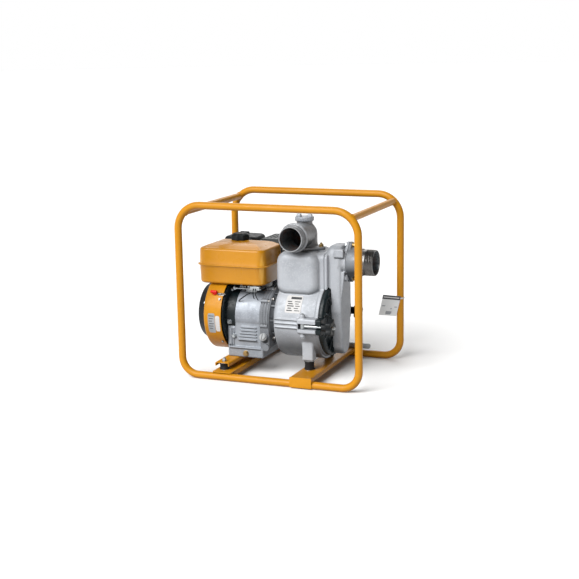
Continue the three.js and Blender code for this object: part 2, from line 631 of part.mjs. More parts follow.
const buildExhaust = () => {
  const { x, y, z, wall } = GUARD;
  const canX = [-132, -30];
  const can = prism('x', roundedRectangle([88, 172], [358, z[1] - 20], 32), canX, { bevel: 6, bevelSteps: 1 });
  const pipe = cut(
    cylinder('z', 13, [300, 370], [-112, 106]),
    slantedBox([100, 260], 70, [0, 54 + GAP]),
  );
  const tail = cylinder('y', 10, [165, 186], [-52, 392]);
  addNode('muffler', join(can, pipe, tail), BLACK_METAL);

  const outline = roundedRectangle(x, [z[0] - 40, z[1]], 16);
  const inner = roundedRectangle(grow(x, -wall), [z[0] - 40, z[1] - wall], 14);
  const shell = cut(
    prism('y', outline, y),
    prism('y', inner, grow(y, -wall)),
    box([x[0] - 1, x[1] + 1], [y[0] - 1, y[1] + 1], [z[0] - 50, z[0]]),
  );
  const slots = [];
  for (let i = 0; i < 8; i += 1) {
    const left = x[0] + 20 + i * 14;
    slots.push(box([left, left + 6], [y[0] - 1, y[0] + 4], [z[0] + 20, z[1] - 18]));
    slots.push(box([left, left + 6], [y[0] + 16, y[1] - 16], [z[1] - 4, z[1] + 1]));
    slots.push(box([left, left + 6], [y[1] - 4, y[1] + 1], [z[0] + 20, z[1] - 18]));
  }
  addNode('muffler_guard', cut(shell, slots), BLACK_METAL);
};

const buildControls = () => {
  const plateZ = [299, 301.5];
  const crownZ = CRANK.z + BLOCK.radius + GAP;
  const plate = join(
    box([-150, -70], [-118, -84], plateZ),
    box([-140, -100], [-86, -82.5], [crownZ - 6, plateZ[1]]),
    box([-110, -74], [-120, -117.6], [plateZ[0] - 2, plateZ[1] + 8]),
  );
  addNode('control_plate', plate, STEEL);
  const pivot = [-138, -104];
  const lever = join(
    cylinder('z', 6, [plateZ[0] - 3 - GAP, plateZ[0] - GAP], pivot),
    box([pivot[0] - 34, pivot[0]], [pivot[1] - 4, pivot[1] + 4], [plateZ[0] - 3 - GAP, plateZ[0] - GAP]),
    cylinder('z', 6, [plateZ[0] - 7, plateZ[0] + 3], [pivot[0] - 36, pivot[1]]),
  );
  addNode('throttle_lever', lever, STEEL);

  const angle = Math.atan2(82, -101);
  const knob = join(
    cylinder('z', 8, [GAP, 7], [0, 0]),
    box([-12, 12], [-5, 5], [6, 17]),
  ).rotate([THREE.MathUtils.radToDeg(angle) - 90, 0, 0]).translate([
    -232,
    CRANK.y + BLOWER.radius * Math.cos(angle),
    CRANK.z + BLOWER.radius * Math.sin(angle),
  ]);
  addNode('stop_switch', knob, RED_PLASTIC);
};

// ---------------------------------------------------------------- pump
const CLAMP_ENDS = [['front', -1], ['rear', 1]];

const clampLug = (side, x, inner, outer) => {
  const span = [CRANK.y + side * inner, CRANK.y + side * outer].sort((a, b) => a - b);
  return box(x, span, [CRANK.z - CLAMP.lugHalf, CRANK.z + CLAMP.lugHalf]);
};

// The slot runs out of the lug's end so that the rod can swing clear of it.
const clampSlot = (side, x, halfHeight) => {
  const span = [CRANK.y + side * (CLAMP.reach - 10), CRANK.y + side * (CLAMP.reach + 30)].sort((a, b) => a - b);
  return box(x, span, [CRANK.z - halfHeight, CRANK.z + halfHeight]);
};

const chamberOutline = (inset) => (
  roundedRectangle(grow(CHAMBER.x, -inset), grow(CHAMBER.z, -inset), CHAMBER.corner - inset)
);

const buildCasing = () => {
  const [left, right] = CASING.x;
  const round = turnedAlongX([
    [left, 0], [left, CASING.radius - 14], [left + 4, CASING.radius - 4], [left + 14, CASING.radius],
    [right - 10, CASING.radius], [right - 10, 0],
  ], [CRANK.y, CRANK.z], 36);
  // Below the shaft the drum is drawn down into a shallow bowl.
  const stretch = (CRANK.z - CASING.bottomZ) / CASING.radius;
  const bowl = round.translate([0, 0, -CRANK.z]).scale([1, 1, stretch]).translate([0, 0, CRANK.z]);
  const drum = join(
    cut(round, box([left - 1, right], [-300, 300], [0, CRANK.z])),
    cut(bowl, box([left - 1, right], [-300, 300], [CRANK.z, 400])),
    onCrank(CASING.flange, [right - 12, right]),
  );
  const chamber = prism('y', chamberOutline(0), CHAMBER.y, { bevel: 16, curve: 3, bevelSteps: 2 });
  const rim = prism('x', roundedRectangle(RIM.y, RIM.z, RIM.corner), [125, right]);
  const collar = cylinder('z', 50, [CHAMBER.z[1] - 20, CHAMBER.z[1]], [OUTLET.x, CRANK.y]);
  const ribs = [-14, 0, 14].map((dz) => (
    box([left + 2, 90], [CRANK.y - CASING.radius - 3, CRANK.y - 60], [CRANK.z + dz - 1.5, CRANK.z + dz + 1.5])
  ));
  const legs = MOUNT.pumpY.map((y) => box([92, 130], [y - 16, y + 16], [72, 150]));
  const lugs = CLAMP_ENDS.map(([, side]) => clampLug(side, [92, right], 90, 152));
  const bosses = CLAMP_ENDS.map(([, side]) => (
    cylinder('z', 9, [CRANK.z - 40, CRANK.z + 40], [CLAMP.pinX, CRANK.y + side * CLAMP.reach])
  ));
  const adaptorFace = onCrank(70, [left - 0.1, left + 6]);
  const solid = join(drum, chamber, rim, collar, ribs, legs, lugs, bosses, adaptorFace);

  const cavity = onCrank(CASING.radius - CASING.wall, [left + 14, right + 1]);
  const chamberHollow = prism('y', chamberOutline(12), grow(CHAMBER.y, -12));
  const passage = box([left + 14, 136], [-112, 32], [240, 340]);
  const window = prism('x', roundedRectangle(grow(RIM.y, -12), [300, RIM.z[1] - 12], 12), [120, right + 1]);
  const outlet = cylinder('z', OUTLET.bore, [CHAMBER.z[1] - 30, CHAMBER.z[1] + 1], [OUTLET.x, CRANK.y]);
  const shaftHole = onCrank(22.3, [left - 1, left + 15]);
  const slots = CLAMP_ENDS.map(([, side]) => clampSlot(side, [94, right + 1], 10));
  const pinHoles = CLAMP_ENDS.map(([, side]) => (
    cylinder('z', 5.4, [CRANK.z - 41, CRANK.z + 41], [CLAMP.pinX, CRANK.y + side * CLAMP.reach])
  ));
  const drainHole = cylinder('z', 7, [CASING.bottomZ - 1, 100], [60, CRANK.y]);
  const tools = [cavity, chamberHollow, passage, window, outlet, shaftHole, slots, pinHoles, drainHole].flat();
  addNode('pump_casing', cut(solid, tools), ALUMINIUM);

  const drainPlug = join(
    cylinder('z', 6.5, [CASING.bottomZ - GAP, 84], [60, CRANK.y]),
    cylinder('z', 12, [CASING.bottomZ - 10, CASING.bottomZ - GAP], [60, CRANK.y], 6),
  );
  addNode('casing_drain_plug', drainPlug, BRASS);

  const adaptor = cut(
    onCrank(100, [PTO.x[1] + GAP, left - 0.1 - GAP], 88),
    onCrank(17, [-60, 0]),
    onCrank(60, [PTO.x[1] + 8, left - 8]),
  );
  addNode('pump_adaptor', adaptor, BLACK_METAL);
};

const buildPumpInsides = () => {
  const seal = cut(onCrank(22, [-9.7, 18]), onCrank(13.7, [-10, 19]));
  addNode('shaft_seal', seal, { ...RUBBER, roughness: 0.6 });
  const ring = cut(onCrank(86, [66, 140]), onCrank(72, [72, 141]), onCrank(30, [60, 74]));
  const throat = box([78, 134], [CRANK.y + 20, CRANK.y + 68], [CRANK.z + 20, CRANK.z + 100]);
  const feet = [100, 220, 340].map((turn) => (
    box([66, 84], [-9, 9], [80, CASING.radius - CASING.wall - 3]).rotate([turn, 0, 0])
      .translate([0, CRANK.y, CRANK.z])
  ));
  addNode('volute', cut(join(ring, feet), throat), { ...STEEL, color: 0x6f7276 });
};

const buildCover = () => {
  const disc = turnedAlongX([
    [COVER.x[0], 0], [COVER.x[0], COVER.radius], [COVER.x[1] - 8, COVER.radius],
    [COVER.x[1], COVER.radius - 10], [COVER.x[1], 0],
  ], [CRANK.y, CRANK.z], 36);
  const lugs = CLAMP_ENDS.map(([, side]) => clampLug(side, COVER.x, 90, 152));
  const ribs = [35, 145, 215, 325].map((turn) => (
    box([COVER.x[1] - 2, COVER.x[1] + 5], [60, COVER.radius - 8], [-4, 4]).rotate([turn, 0, 0])
      .translate([0, CRANK.y, CRANK.z])
  ));
  const slots = CLAMP_ENDS.map(([, side]) => clampSlot(side, grow(COVER.x, 2), 7));
  const above = box(grow(COVER.x, 10), [-200, 200], [COVER.top, 400]);
  const ductSeat = prism('x', ductOutline(-GAP), [COVER.x[1], COVER.x[1] + 20], { curve: 3 });
  const eye = onCrank(45, grow(COVER.x, 1));
  addNode('casing_cover', cut(join(disc, lugs, ribs), slots, above, ductSeat, eye), BLACK_METAL);
};

// Outline of the suction duct in the YZ plane: straight sides that draw in to a round toe.
function ductOutline(inset) {
  const toe = 38 - inset;
  const shoulder = 34 - inset;
  const [front, back] = grow(DUCT.y, -inset);
  const top = DUCT.top - inset;
  const shape = new THREE.Shape();
  shape.moveTo(back, DUCT.taperZ);
  shape.absarc(back - shoulder, top - shoulder, shoulder, 0, Math.PI / 2);
  shape.absarc(front + shoulder, top - shoulder, shoulder, Math.PI / 2, Math.PI);
  shape.lineTo(front, DUCT.taperZ);
  shape.absarc(CRANK.y, DUCT.bottom, toe, Math.PI, 2 * Math.PI);
  shape.closePath();
  return shape;
}

const earedDisc = (axis, radius, ear, earRadius, span, centre) => {
  const alongX = axis === 'x';
  const shift = (sign) => (alongX ? [centre[0], centre[1] + sign * ear] : [centre[0] + sign * ear, centre[1]]);
  const strap = alongX
    ? box(span, [centre[0] - earRadius, centre[0] + earRadius], [centre[1] - ear, centre[1] + ear])
    : box([centre[0] - ear, centre[0] + ear], [centre[1] - earRadius, centre[1] + earRadius], span);
  return join(
    cylinder(axis, radius, span, centre),
    strap,
    cylinder(axis, earRadius, span, shift(-1), 16),
    cylinder(axis, earRadius, span, shift(1), 16),
  );
};

const buildSuction = () => {
  const port = [CRANK.y, SUCTION.z];
  const body = cut(
    prism('x', ductOutline(0), [COVER.x[0], DUCT.x[1]], { bevel: 7, curve: 3 }),
    box([100, DUCT.x[0]], [-200, 100], [0, COVER.top + GAP]),
  );
  const plateOutline = roundedRectangle(RIM.y, [280, RIM.z[1]], RIM.corner);
  const plate = cut(
    prism('x', plateOutline, [COVER.x[0], COVER.x[0] + 11]),
    cylinder('x', COVER.radius + GAP + 1, [100, 200], [CRANK.y, CRANK.z], 36),
  );
  const boss = cylinder('x', 47, [DUCT.x[1] - 8, SUCTION.flangeX - GAP], port);
  const flange = earedDisc('x', 50, SUCTION.ear, 13, [SUCTION.flangeX - 10, SUCTION.flangeX - GAP], port);
  const rib = prism('y', new THREE.Shape([
    new THREE.Vector2(DUCT.x[1] - 6, 284), new THREE.Vector2(DUCT.x[1] + 1, 284),
    new THREE.Vector2(SUCTION.flangeX - 4, 352), new THREE.Vector2(SUCTION.flangeX - 4, 372),
    new THREE.Vector2(DUCT.x[1] - 6, 372),
  ]), [-88, -80]);
  const pad = box([190, SUCTION.flangeX - 4], [-98, -80], [420, 450]);
  const slope = box([0, 60], [-200, 100], [0, 300]).rotate([0, 10, 0]).translate([DUCT.x[1], 0, DUCT.taperZ - 298]);
  const solid = cut(join(body, plate, boss, flange, rib, pad), slope);

  const wall = 8;
  const hollow = prism('x', ductOutline(wall), [DUCT.x[0] - 30, DUCT.x[1] - wall], { curve: 3 });
  const hollowSlope = slope.translate([-wall, 0, 0]);
  const mouth = box([100, DUCT.x[0] - 4], [DUCT.y[0] + wall, DUCT.y[1] - wall], [COVER.top + 8, 425]);
  const bore = cylinder('x', SUCTION.bore, [DUCT.x[1] - 20, SUCTION.flangeX + 1], port);
  addNode('suction_duct', cut(solid, cut(hollow, hollowSlope), mouth, bore), ALUMINIUM);

  const hub = join(
    earedDisc('x', 50, SUCTION.ear, 13, [SUCTION.flangeX, SUCTION.flangeX + 10], port),
    cylinder('x', 52, [SUCTION.flangeX + 2, SUCTION.flangeX + 34], port),
  );
  const seat = cylinder('x', SUCTION.pipe + GAP, [SUCTION.flangeX + 12, SUCTION.flangeX + 40], port);
  const hubBore = cylinder('x', SUCTION.bore, [SUCTION.flangeX - 1, SUCTION.flangeX + 20], port);
  addNode('suction_flange', cut(hub, seat, hubBore), ALUMINIUM);
  const pipe = join(
    cylinder('x', SUCTION.pipe, [SUCTION.flangeX + 12 + GAP, SUCTION.end], port),
    cylinder('x', SUCTION.pipe + 2.4, [SUCTION.flangeX + 34 + GAP, 274], port),
  );
  addNode('suction_nipple', cut(pipe, cylinder('x', 39.5, [200, 330], port)), { ...STEEL, color: 0x4b4a48 });

  const flap = join(
    cylinder('x', 32, [216, 220], [CRANK.y, SUCTION.z]),
    box([216, 220], [CRANK.y - 10, CRANK.y + 10], [SUCTION.z + 20, SUCTION.z + 34]),
  );
  addNode('check_valve', flap, RUBBER);
};

const buildDischarge = () => {
  const centre = [OUTLET.x, CRANK.y];
  const { x, z, pipe, bore, end } = OUTLET;
  const flangeZ = [CHAMBER.z[1] + GAP, CHAMBER.z[1] + 10];
  const dome = (radius) => {
    const points = [new THREE.Vector2(0, -radius)];
    for (let k = 1; k < 6; k += 1) {
      const angle = -Math.PI / 2 + (k * Math.PI) / 6;
      points.push(new THREE.Vector2(radius * Math.cos(angle), radius * Math.sin(angle)));
    }
    points.push(new THREE.Vector2(0, radius));
    const ball = new THREE.LatheGeometry(points, 16).rotateX(Math.PI / 2).rotateZ(Math.PI / 16);
    return toSolid(ball.translate(x, CRANK.y, z));
  };
  const solid = join(
    earedDisc('z', 52, OUTLET.ear, 14, flangeZ, centre),
    cylinder('z', pipe, [flangeZ[0], z], centre),
    dome(pipe),
    cylinder('y', pipe, [end, CRANK.y], [x, z]),
    cylinder('y', 50, [end + 33, end + 40], [x, z]),
    cylinder('z', 27, [z + 20, 533], centre),
  );
  const holes = [
    cylinder('z', bore, [flangeZ[0] - 1, z], centre),
    dome(bore),
    cylinder('y', bore, [end - 1, CRANK.y], [x, z]),
    cylinder('z', 21, [z + 20, 540], centre),
  ];
  addNode('discharge_elbow', cut(solid, holes), ALUMINIUM);

  const capZ = [533 + GAP, 547];
  const wings = [-1, 1].map((side) => (
    box([x + side * 20 - 9, x + side * 20 + 9], [CRANK.y - 6, CRANK.y + 6], [capZ[1] - 1, capZ[1] + 9])
  ));
  const cap = join(cylinder('z', 32.3, capZ, centre), wings, cylinder('z', 19.7, [522, capZ[1] - 2], centre));
  addNode('priming_cap', cap, ALUMINIUM);
};

const buildClamps = () => {
  CLAMP_ENDS.forEach(([end, side]) => {
    const y = CRANK.y + side * CLAMP.reach;
    const rod = join(
      cylinder('z', 5, [CRANK.z - 43, CRANK.z + 43], [CLAMP.pinX, y]),
      cylinder('z', 9, [CRANK.z - 9, CRANK.z + 9], [CLAMP.pinX, y]),
      cylinder('x', CLAMP.rodRadius, [CLAMP.pinX, 222], [y, CRANK.z]),
    );
    addNode(`clamp_bolt_${end}`, rod, STEEL);
    const lobes = [];
    for (let i = 0; i < 5; i += 1) {
      const angle = (i * 2 * Math.PI) / 5;
      const centre = [y + 22 * Math.cos(angle), CRANK.z + 22 * Math.sin(angle)];
      lobes.push(cylinder('x', 9, [CLAMP.knobX[1] - 18, CLAMP.knobX[1]], centre));
    }
    const knob = cut(
      join(
        cylinder('x', 13, CLAMP.knobX, [y, CRANK.z]),
        cylinder('x', 23, [CLAMP.knobX[1] - 17, CLAMP.knobX[1] - 1], [y, CRANK.z]),
        lobes,
      ),
      cylinder('x', CLAMP.rodRadius + 1, [CLAMP.knobX[0] - 1, CLAMP.knobX[1] + 1], [y, CRANK.z]),
    );
    addNode(`hand_knob_${end}`, knob, BLACK_PLASTIC);
  });
};

buildFrame();
buildRails();
buildMounts();
buildFrameTrim();
buildBlock();
buildPlugs();
buildHead();
buildIgnition();
buildBlower();
buildStarter();
buildRotor();
buildTank();
buildIntake();
buildExhaust();
buildControls();
buildCasing();
buildPumpInsides();
buildCover();
buildSuction();
buildDischarge();
buildClamps();

export default assembly;
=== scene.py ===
"""Looks of a tube-framed engine pump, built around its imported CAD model.

Lengths are millimetres in the frame's own axes until new_object turns them into Blender's metres.
Angles are degrees, and an angle about the crank axis is measured from +Y towards +Z.
"""
import json
import math

import bmesh
import bpy
from mathutils import Matrix, Vector


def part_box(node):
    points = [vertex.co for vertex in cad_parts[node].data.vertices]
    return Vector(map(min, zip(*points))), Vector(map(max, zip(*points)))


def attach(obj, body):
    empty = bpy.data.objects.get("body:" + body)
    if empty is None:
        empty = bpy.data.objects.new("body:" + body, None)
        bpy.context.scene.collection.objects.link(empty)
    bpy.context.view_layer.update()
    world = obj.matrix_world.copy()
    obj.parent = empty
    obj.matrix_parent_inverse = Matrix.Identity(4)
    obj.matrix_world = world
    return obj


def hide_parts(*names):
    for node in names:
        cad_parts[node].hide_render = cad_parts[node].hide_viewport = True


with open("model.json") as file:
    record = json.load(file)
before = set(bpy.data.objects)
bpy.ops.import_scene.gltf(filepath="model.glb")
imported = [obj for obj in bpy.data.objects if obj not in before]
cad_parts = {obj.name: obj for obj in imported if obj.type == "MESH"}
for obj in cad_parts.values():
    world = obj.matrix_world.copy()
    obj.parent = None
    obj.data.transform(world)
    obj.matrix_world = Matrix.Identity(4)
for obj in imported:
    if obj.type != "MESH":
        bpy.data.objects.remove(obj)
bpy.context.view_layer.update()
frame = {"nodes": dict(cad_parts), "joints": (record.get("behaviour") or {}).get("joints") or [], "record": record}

MM = 0.001
BODY = {node: body for body, nodes in frame["record"]["behaviour"]["bodies"].items() for node in nodes}
SLOT = {row["node"]: row["material_slot"] for row in frame["record"]["subparts"]}


# ---------------------------------------------------------------- places from the frame
def span(node):
    """The node's extent along X, Y and Z, in millimetres."""
    low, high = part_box(node)
    return [(low[i] / MM, high[i] / MM) for i in range(3)]


def middle(pair):
    return (pair[0] + pair[1]) / 2


def grow(pair, by):
    return (pair[0] - by, pair[1] + by)


def about(centre, half):
    return (centre - half, centre + half)


def pivot(name):
    joint = next(joint for joint in frame["joints"] if joint["name"] == name)
    return Vector(joint["pos_m"]) / MM


CRANK = tuple(pivot("crank_spin"))[1:]
CRANK_Y, CRANK_Z = CRANK
TUBE = (span("frame_front_loop")[1][1] - span("frame_front_loop")[1][0]) / 2
SHEET = 3.2  # thickness of the folded rails
TOP_BEND, BOTTOM_BEND = 82, 60  # bend radii of the loops
TILT = 25  # slant of the cylinder above the horizontal
CYLINDER_X = -135
BLOWER_R = 130
ROPE_X, ROPE_Z = -285, CRANK_Z + 52.4
OIL_NECK = (-54, -122, 129)
PLUG_AXIS = Vector((0, -math.cos(math.radians(30)), math.sin(math.radians(30))))
RIGHT, LEFT, FRONT, UP, DOWN = (1, 0, 0), (-1, 0, 0), (0, -1, 0), (0, 0, 1), (0, 0, -1)
DRUM_R, DRUM_DROP = 124, 139 / 124  # the casing's drum, and how far its lower half is stretched
CASING = (-10, 157)
CHAMBER_X, CHAMBER_Y, CHAMBER_Z = (-12, 141), (-128, 48), (284, 437)
CHAMBER_WALL = 12
RIM_Y, RIM_Z, RIM_CORNER = (-105, 25), (270, 433), 20
COVER_X = (157.3, 176)
CLAMP_X, CLAMP_OUT = 107, 140  # the clamp bolts' pins, and their distance from the crank axis
DUCT_X, DUCT_Y, DUCT_TOP = (176.3, 212), (-93, 13), 459
DUCT_SLOPE = 10  # slant of the duct's lower face, from the vertical
SEAM_Z = 312  # the suction duct's plate sits above the black cover
PORT = (CRANK_Y, 400)
OUTLET_X, OUTLET_Z = 64, 488
BORE = 38  # inner radius of both ports
PIPE_PITCH = 2.31


# ---------------------------------------------------------------- outlines
def circle(radius, sides=48, centre=(0, 0)):
    angles = [k * (2 * math.pi / sides) for k in range(sides)]
    return [(centre[0] + radius * math.cos(a), centre[1] + radius * math.sin(a)) for a in angles]


def arc(centre, radius, start, end, steps=8):
    angles = [math.radians(start + (end - start) * k / steps) for k in range(steps + 1)]
    return [(centre[0] + radius * math.cos(a), centre[1] + radius * math.sin(a)) for a in angles]


def rounded(u, v, radius, steps=6):
    """Outline of a rounded rectangle."""
    (u0, u1), (v0, v1) = u, v
    return (
        arc((u1 - radius, v1 - radius), radius, 0, 90, steps)
        + arc((u0 + radius, v1 - radius), radius, 90, 180, steps)
        + arc((u0 + radius, v0 + radius), radius, 180, 270, steps)
        + arc((u1 - radius, v0 + radius), radius, 270, 360, steps)
    )


def hull(points):
    """Convex outline round the points."""
    points = sorted(set(points))

    def half(run):
        chain = []
        for p in run:
            while len(chain) > 1:
                (ax, ay), (bx, by) = chain[-2:]
                if (bx - ax) * (p[1] - ay) - (by - ay) * (p[0] - ax) > 1e-9:
                    break
                chain.pop()
            chain.append(p)
        return chain[:-1]

    return half(points) + half(points[::-1])


def eared(centre, radius, reach, ear_radius, along):
    """Outline of a round flange with two ears; along is 0 or 1, the coordinate that the ears lie on."""
    points = circle(radius, 64, centre)
    for sign in (-1, 1):
        ear = [centre[0], centre[1]]
        ear[along] += sign * reach
        points += circle(ear_radius, 32, ear)
    return hull(points)


# ---------------------------------------------------------------- meshes from rings of points
def new_object(verts, faces):
    mesh = bpy.data.meshes.new("form")
    mesh.from_pydata([Vector(v) * MM for v in verts], [], faces)
    form = bmesh.new()
    form.from_mesh(mesh)
    bmesh.ops.remove_doubles(form, verts=form.verts, dist=2e-6)
    bmesh.ops.recalc_face_normals(form, faces=form.faces)
    form.to_mesh(mesh)
    form.free()
    return linked(mesh)


def linked(mesh):
    obj = bpy.data.objects.new("form", mesh)
    bpy.context.scene.collection.objects.link(obj)
    return obj


def lofted(rings, closed=False):
    """Skins rings of equally many points, with end faces unless the rings close on themselves."""
    count = len(rings[0])
    faces = []
    for i in range(len(rings) if closed else len(rings) - 1):
        a, b = i * count, (i + 1) % len(rings) * count
        faces += [(a + k, a + (k + 1) % count, b + (k + 1) % count, b + k) for k in range(count)]
    if not closed:
        faces.append(tuple(range(count))[::-1])
        faces.append(tuple(range((len(rings) - 1) * count, len(rings) * count)))
    return new_object([point for ring in rings for point in ring], faces)


def place(axis, along, u, v):
    """X, Y and Z of a point given along an axis and by the two other coordinates in that order."""
    return {"x": (along, u, v), "y": (u, along, v), "z": (u, v, along)}[axis]


def prism(axis, outline, ends):
    return lofted([[place(axis, end, *point) for point in outline] for end in ends])


def box(x, y, z):
    return prism("z", [(x[0], y[0]), (x[1], y[0]), (x[1], y[1]), (x[0], y[1])], z)


def rod(axis, radius, ends, centre, end_radius=None, sides=48):
    radii = (radius, radius if end_radius is None else end_radius)
    return lofted([[place(axis, end, *p) for p in circle(r, sides, centre)] for end, r in zip(ends, radii)])


def turned(axis, profile, centre=(0, 0), sides=64, closed=False, shape=None, squash=1.0):
    """A body of revolution from (along, radius) points.

    shape(along, angle, radius) scales the radius, and squash stretches the lower half.
    """
    rings = []
    for along, radius in profile:
        ring = []
        for k in range(sides):
            angle = 2 * math.pi * k / sides
            r = radius * (shape(along, angle, radius) if shape else 1)
            drop = squash if math.sin(angle) < 0 else 1
            u, v = centre[0] + r * math.cos(angle), centre[1] + r * math.sin(angle) * drop
            ring.append(place(axis, along, u, v))
        rings.append(ring)
    return lofted(rings, closed)


def levels(low, high, low_round, high_round, steps=5):
    """(along, inset) pairs that round both ends of a stack."""
    quarter = [math.pi / 2 * k / steps for k in range(steps + 1)]
    start = [(low + low_round * (1 - math.cos(a)), low_round * (1 - math.sin(a))) for a in quarter]
    end = [(high - high_round * (1 - math.cos(a)), high_round * (1 - math.sin(a))) for a in quarter[::-1]]
    return (start if low_round else [(low, 0)]) + (end if high_round else [(high, 0)])


def stacked(axis, outline, rows):
    """Stacks outline(inset) at each (along, inset)."""
    return lofted([[place(axis, along, *point) for point in outline(inset)] for along, inset in rows])


def plan(u, v, corner):
    """Insettable rounded rectangle for a stack."""
    return lambda inset: rounded(grow(u, -inset), grow(v, -inset), max(corner - inset, 1.5))


def bent_path(corners, bends, steps=12, closed=False):
    """Straight runs through corner points with a round bend at each inner corner."""
    corners = [Vector(corner) for corner in corners]
    points = [corners[0]]
    for before, corner, after, radius in zip(corners, corners[1:], corners[2:], bends):
        incoming, outgoing = (corner - before).normalized(), (after - corner).normalized()
        turn = incoming.angle(outgoing)
        inward = (outgoing - incoming * math.cos(turn)).normalized()
        begin = corner - incoming * radius * math.tan(turn / 2)
        for k in range(steps + 1):
            a = turn * k / steps
            points.append(begin + incoming * radius * math.sin(a) + inward * radius * (1 - math.cos(a)))
    return points if closed else points + [corners[-1]]


def sweep(path, radius, sides=24, closed=False, ripple=None):
    """A round tube along a path; ripple(k) scales its radius at each station."""
    rings, normal, count = [], None, len(path)
    for k, point in enumerate(path):
        ahead = path[(k + 1) % count] if closed or k + 1 < count else point
        behind = path[k - 1] if closed or k > 0 else point
        tangent = (ahead - behind).normalized()
        guide = normal or (Vector((0, 1, 0)) if abs(tangent.y) < 0.9 else Vector((1, 0, 0)))
        normal = (guide - tangent * guide.dot(tangent)).normalized()
        side = tangent.cross(normal)
        r = radius * (ripple(k) if ripple else 1)
        angles = [2 * math.pi * j / sides for j in range(sides)]
        rings.append([point + (normal * math.cos(a) + side * math.sin(a)) * r for a in angles])
    return lofted(rings, closed)


def patch(radius, x, start, end, thickness=0.5, steps=10, corner=3):
    """A thin plate bent round the crank axis, from one angle to the other."""
    rings = []
    for k in range(steps + 1):
        angle = math.radians(start + (end - start) * k / steps)
        nip = corner if k in (0, steps) else 0
        ring = []
        for r, along in ((radius, x[0] + nip), (radius, x[1] - nip), (radius + thickness, x[1] - nip - 0.3),
                         (radius + thickness, x[0] + nip + 0.3)):
            ring.append((along, CRANK_Y + r * math.cos(angle), CRANK_Z + r * math.sin(angle)))
        rings.append(ring)
    return lofted(rings)


def thread(pitch, depth, above, between=(-1e4, 1e4)):
    """Cuts a screw thread into the surfaces of a turned body that lie outside a radius."""
    def scale(along, angle, radius):
        if radius <= above or not between[0] <= along <= between[1]:
            return 1
        phase = along / pitch - angle / (2 * math.pi)
        return 1 - depth / radius * abs(2 * (phase - math.floor(phase)) - 1)
    return scale


def knurled(count, depth, above):
    """A shape for turned: square flutes where the radius is above a value."""
    return lambda along, angle, r: 1 - (depth * (math.cos(count * angle) > 0) if r > above else 0)


def lobed(count, reach, sharpness, above, below_end=1e4):
    """A shape for turned: soft lobes where the radius is above a value, up to an end."""
    def scale(along, angle, r):
        if r <= above or along >= below_end:
            return 1
        return 1 + reach * (0.5 + 0.5 * math.cos(count * angle)) ** sharpness
    return scale


def dome(z, radius, step):
    """Rows of a ball for turned, from its lowest point to its highest."""
    angles = [math.radians(v) for v in range(-90, 91, step)]
    return [(z + radius * math.sin(a), max(radius * math.cos(a), 0.01)) for a in angles]


def quarter_round(z, inset, rise, run, steps, last):
    """Rows of a quarter round for stacked, from its first step above z to the last one named."""
    angles = [math.pi / 2 * k / steps for k in range(1, last + 1)]
    return [(z + rise * math.sin(a), inset + run * (1 - math.cos(a))) for a in angles]


def stations(start, end, step):
    """Evenly spaced values from start to end, about a step apart."""
    count = max(1, round(abs(end - start) / step))
    return [start + (end - start) * k / count for k in range(count + 1)]


# ---------------------------------------------------------------- working on meshes
def settle(obj):
    """Applies the object's modifiers to its mesh."""
    graph = bpy.context.evaluated_depsgraph_get()
    mesh = bpy.data.meshes.new_from_object(obj.evaluated_get(graph))
    old = obj.data
    obj.modifiers.clear()
    obj.data = mesh
    bpy.data.meshes.remove(old)
    return obj


def discard(obj):
    mesh = obj.data
    bpy.data.objects.remove(obj)
    bpy.data.meshes.remove(mesh)


def gather(*objs):
    """One object holding all the meshes as they are."""
    form = bmesh.new()
    for obj in objs:
        form.from_mesh(obj.data)
        discard(obj)
    mesh = bpy.data.meshes.new("form")
    form.to_mesh(mesh)
    form.free()
    return linked(mesh)


def boolean(obj, tools, operation):
    for tool in tools:
        step = obj.modifiers.new("boolean", "BOOLEAN")
        step.object, step.operation, step.solver = tool, operation, "EXACT"
    settle(obj)
    for tool in tools:
        discard(tool)
    return obj


def fuse(obj, *others):
    return boolean(obj, others, "UNION")


def cut(obj, *tools):
    return boolean(obj, tools, "DIFFERENCE")


def soften(obj, width, segments=2, angle=30):
    """Rounds the sharp edges."""
    form = bmesh.new()
    form.from_mesh(obj.data)
    bmesh.ops.remove_doubles(form, verts=form.verts, dist=1e-5)
    bmesh.ops.dissolve_limit(form, angle_limit=math.radians(0.8), verts=form.verts, edges=form.edges)
    form.to_mesh(obj.data)
    form.free()
    bevel = obj.modifiers.new("bevel", "BEVEL")
    bevel.width, bevel.segments = width * MM, segments
    bevel.limit_method, bevel.angle_limit = "ANGLE", math.radians(angle)
    return settle(obj)


def cast(*solids, voxel=2.0, passes=6, share=0.35):
    """Melts overlapping solids into one casting with soft fillets."""
    obj = gather(*solids)
    remesh = obj.modifiers.new("remesh", "REMESH")
    remesh.mode, remesh.voxel_size = "VOXEL", voxel * MM
    smooth = obj.modifiers.new("smooth", "SMOOTH")
    smooth.factor, smooth.iterations = 0.5, passes
    thin = obj.modifiers.new("thin", "DECIMATE")
    thin.ratio = share
    return settle(obj)


def moved(obj, matrix):
    obj.data.transform(matrix)
    return obj


def aimed(obj, point, direction):
    """Sets a form drawn up the Z axis at a point, facing a direction."""
    turn = Vector(direction).to_track_quat("Z", "Y").to_matrix().to_4x4()
    return moved(obj, Matrix.Translation(Vector(point) * MM) @ turn)


def spun(obj, degrees):
    """Turns a form about the crank axis."""
    centre = Matrix.Translation(Vector((0, CRANK_Y, CRANK_Z)) * MM)
    return moved(obj, centre @ Matrix.Rotation(math.radians(degrees), 4, "X") @ centre.inverted())


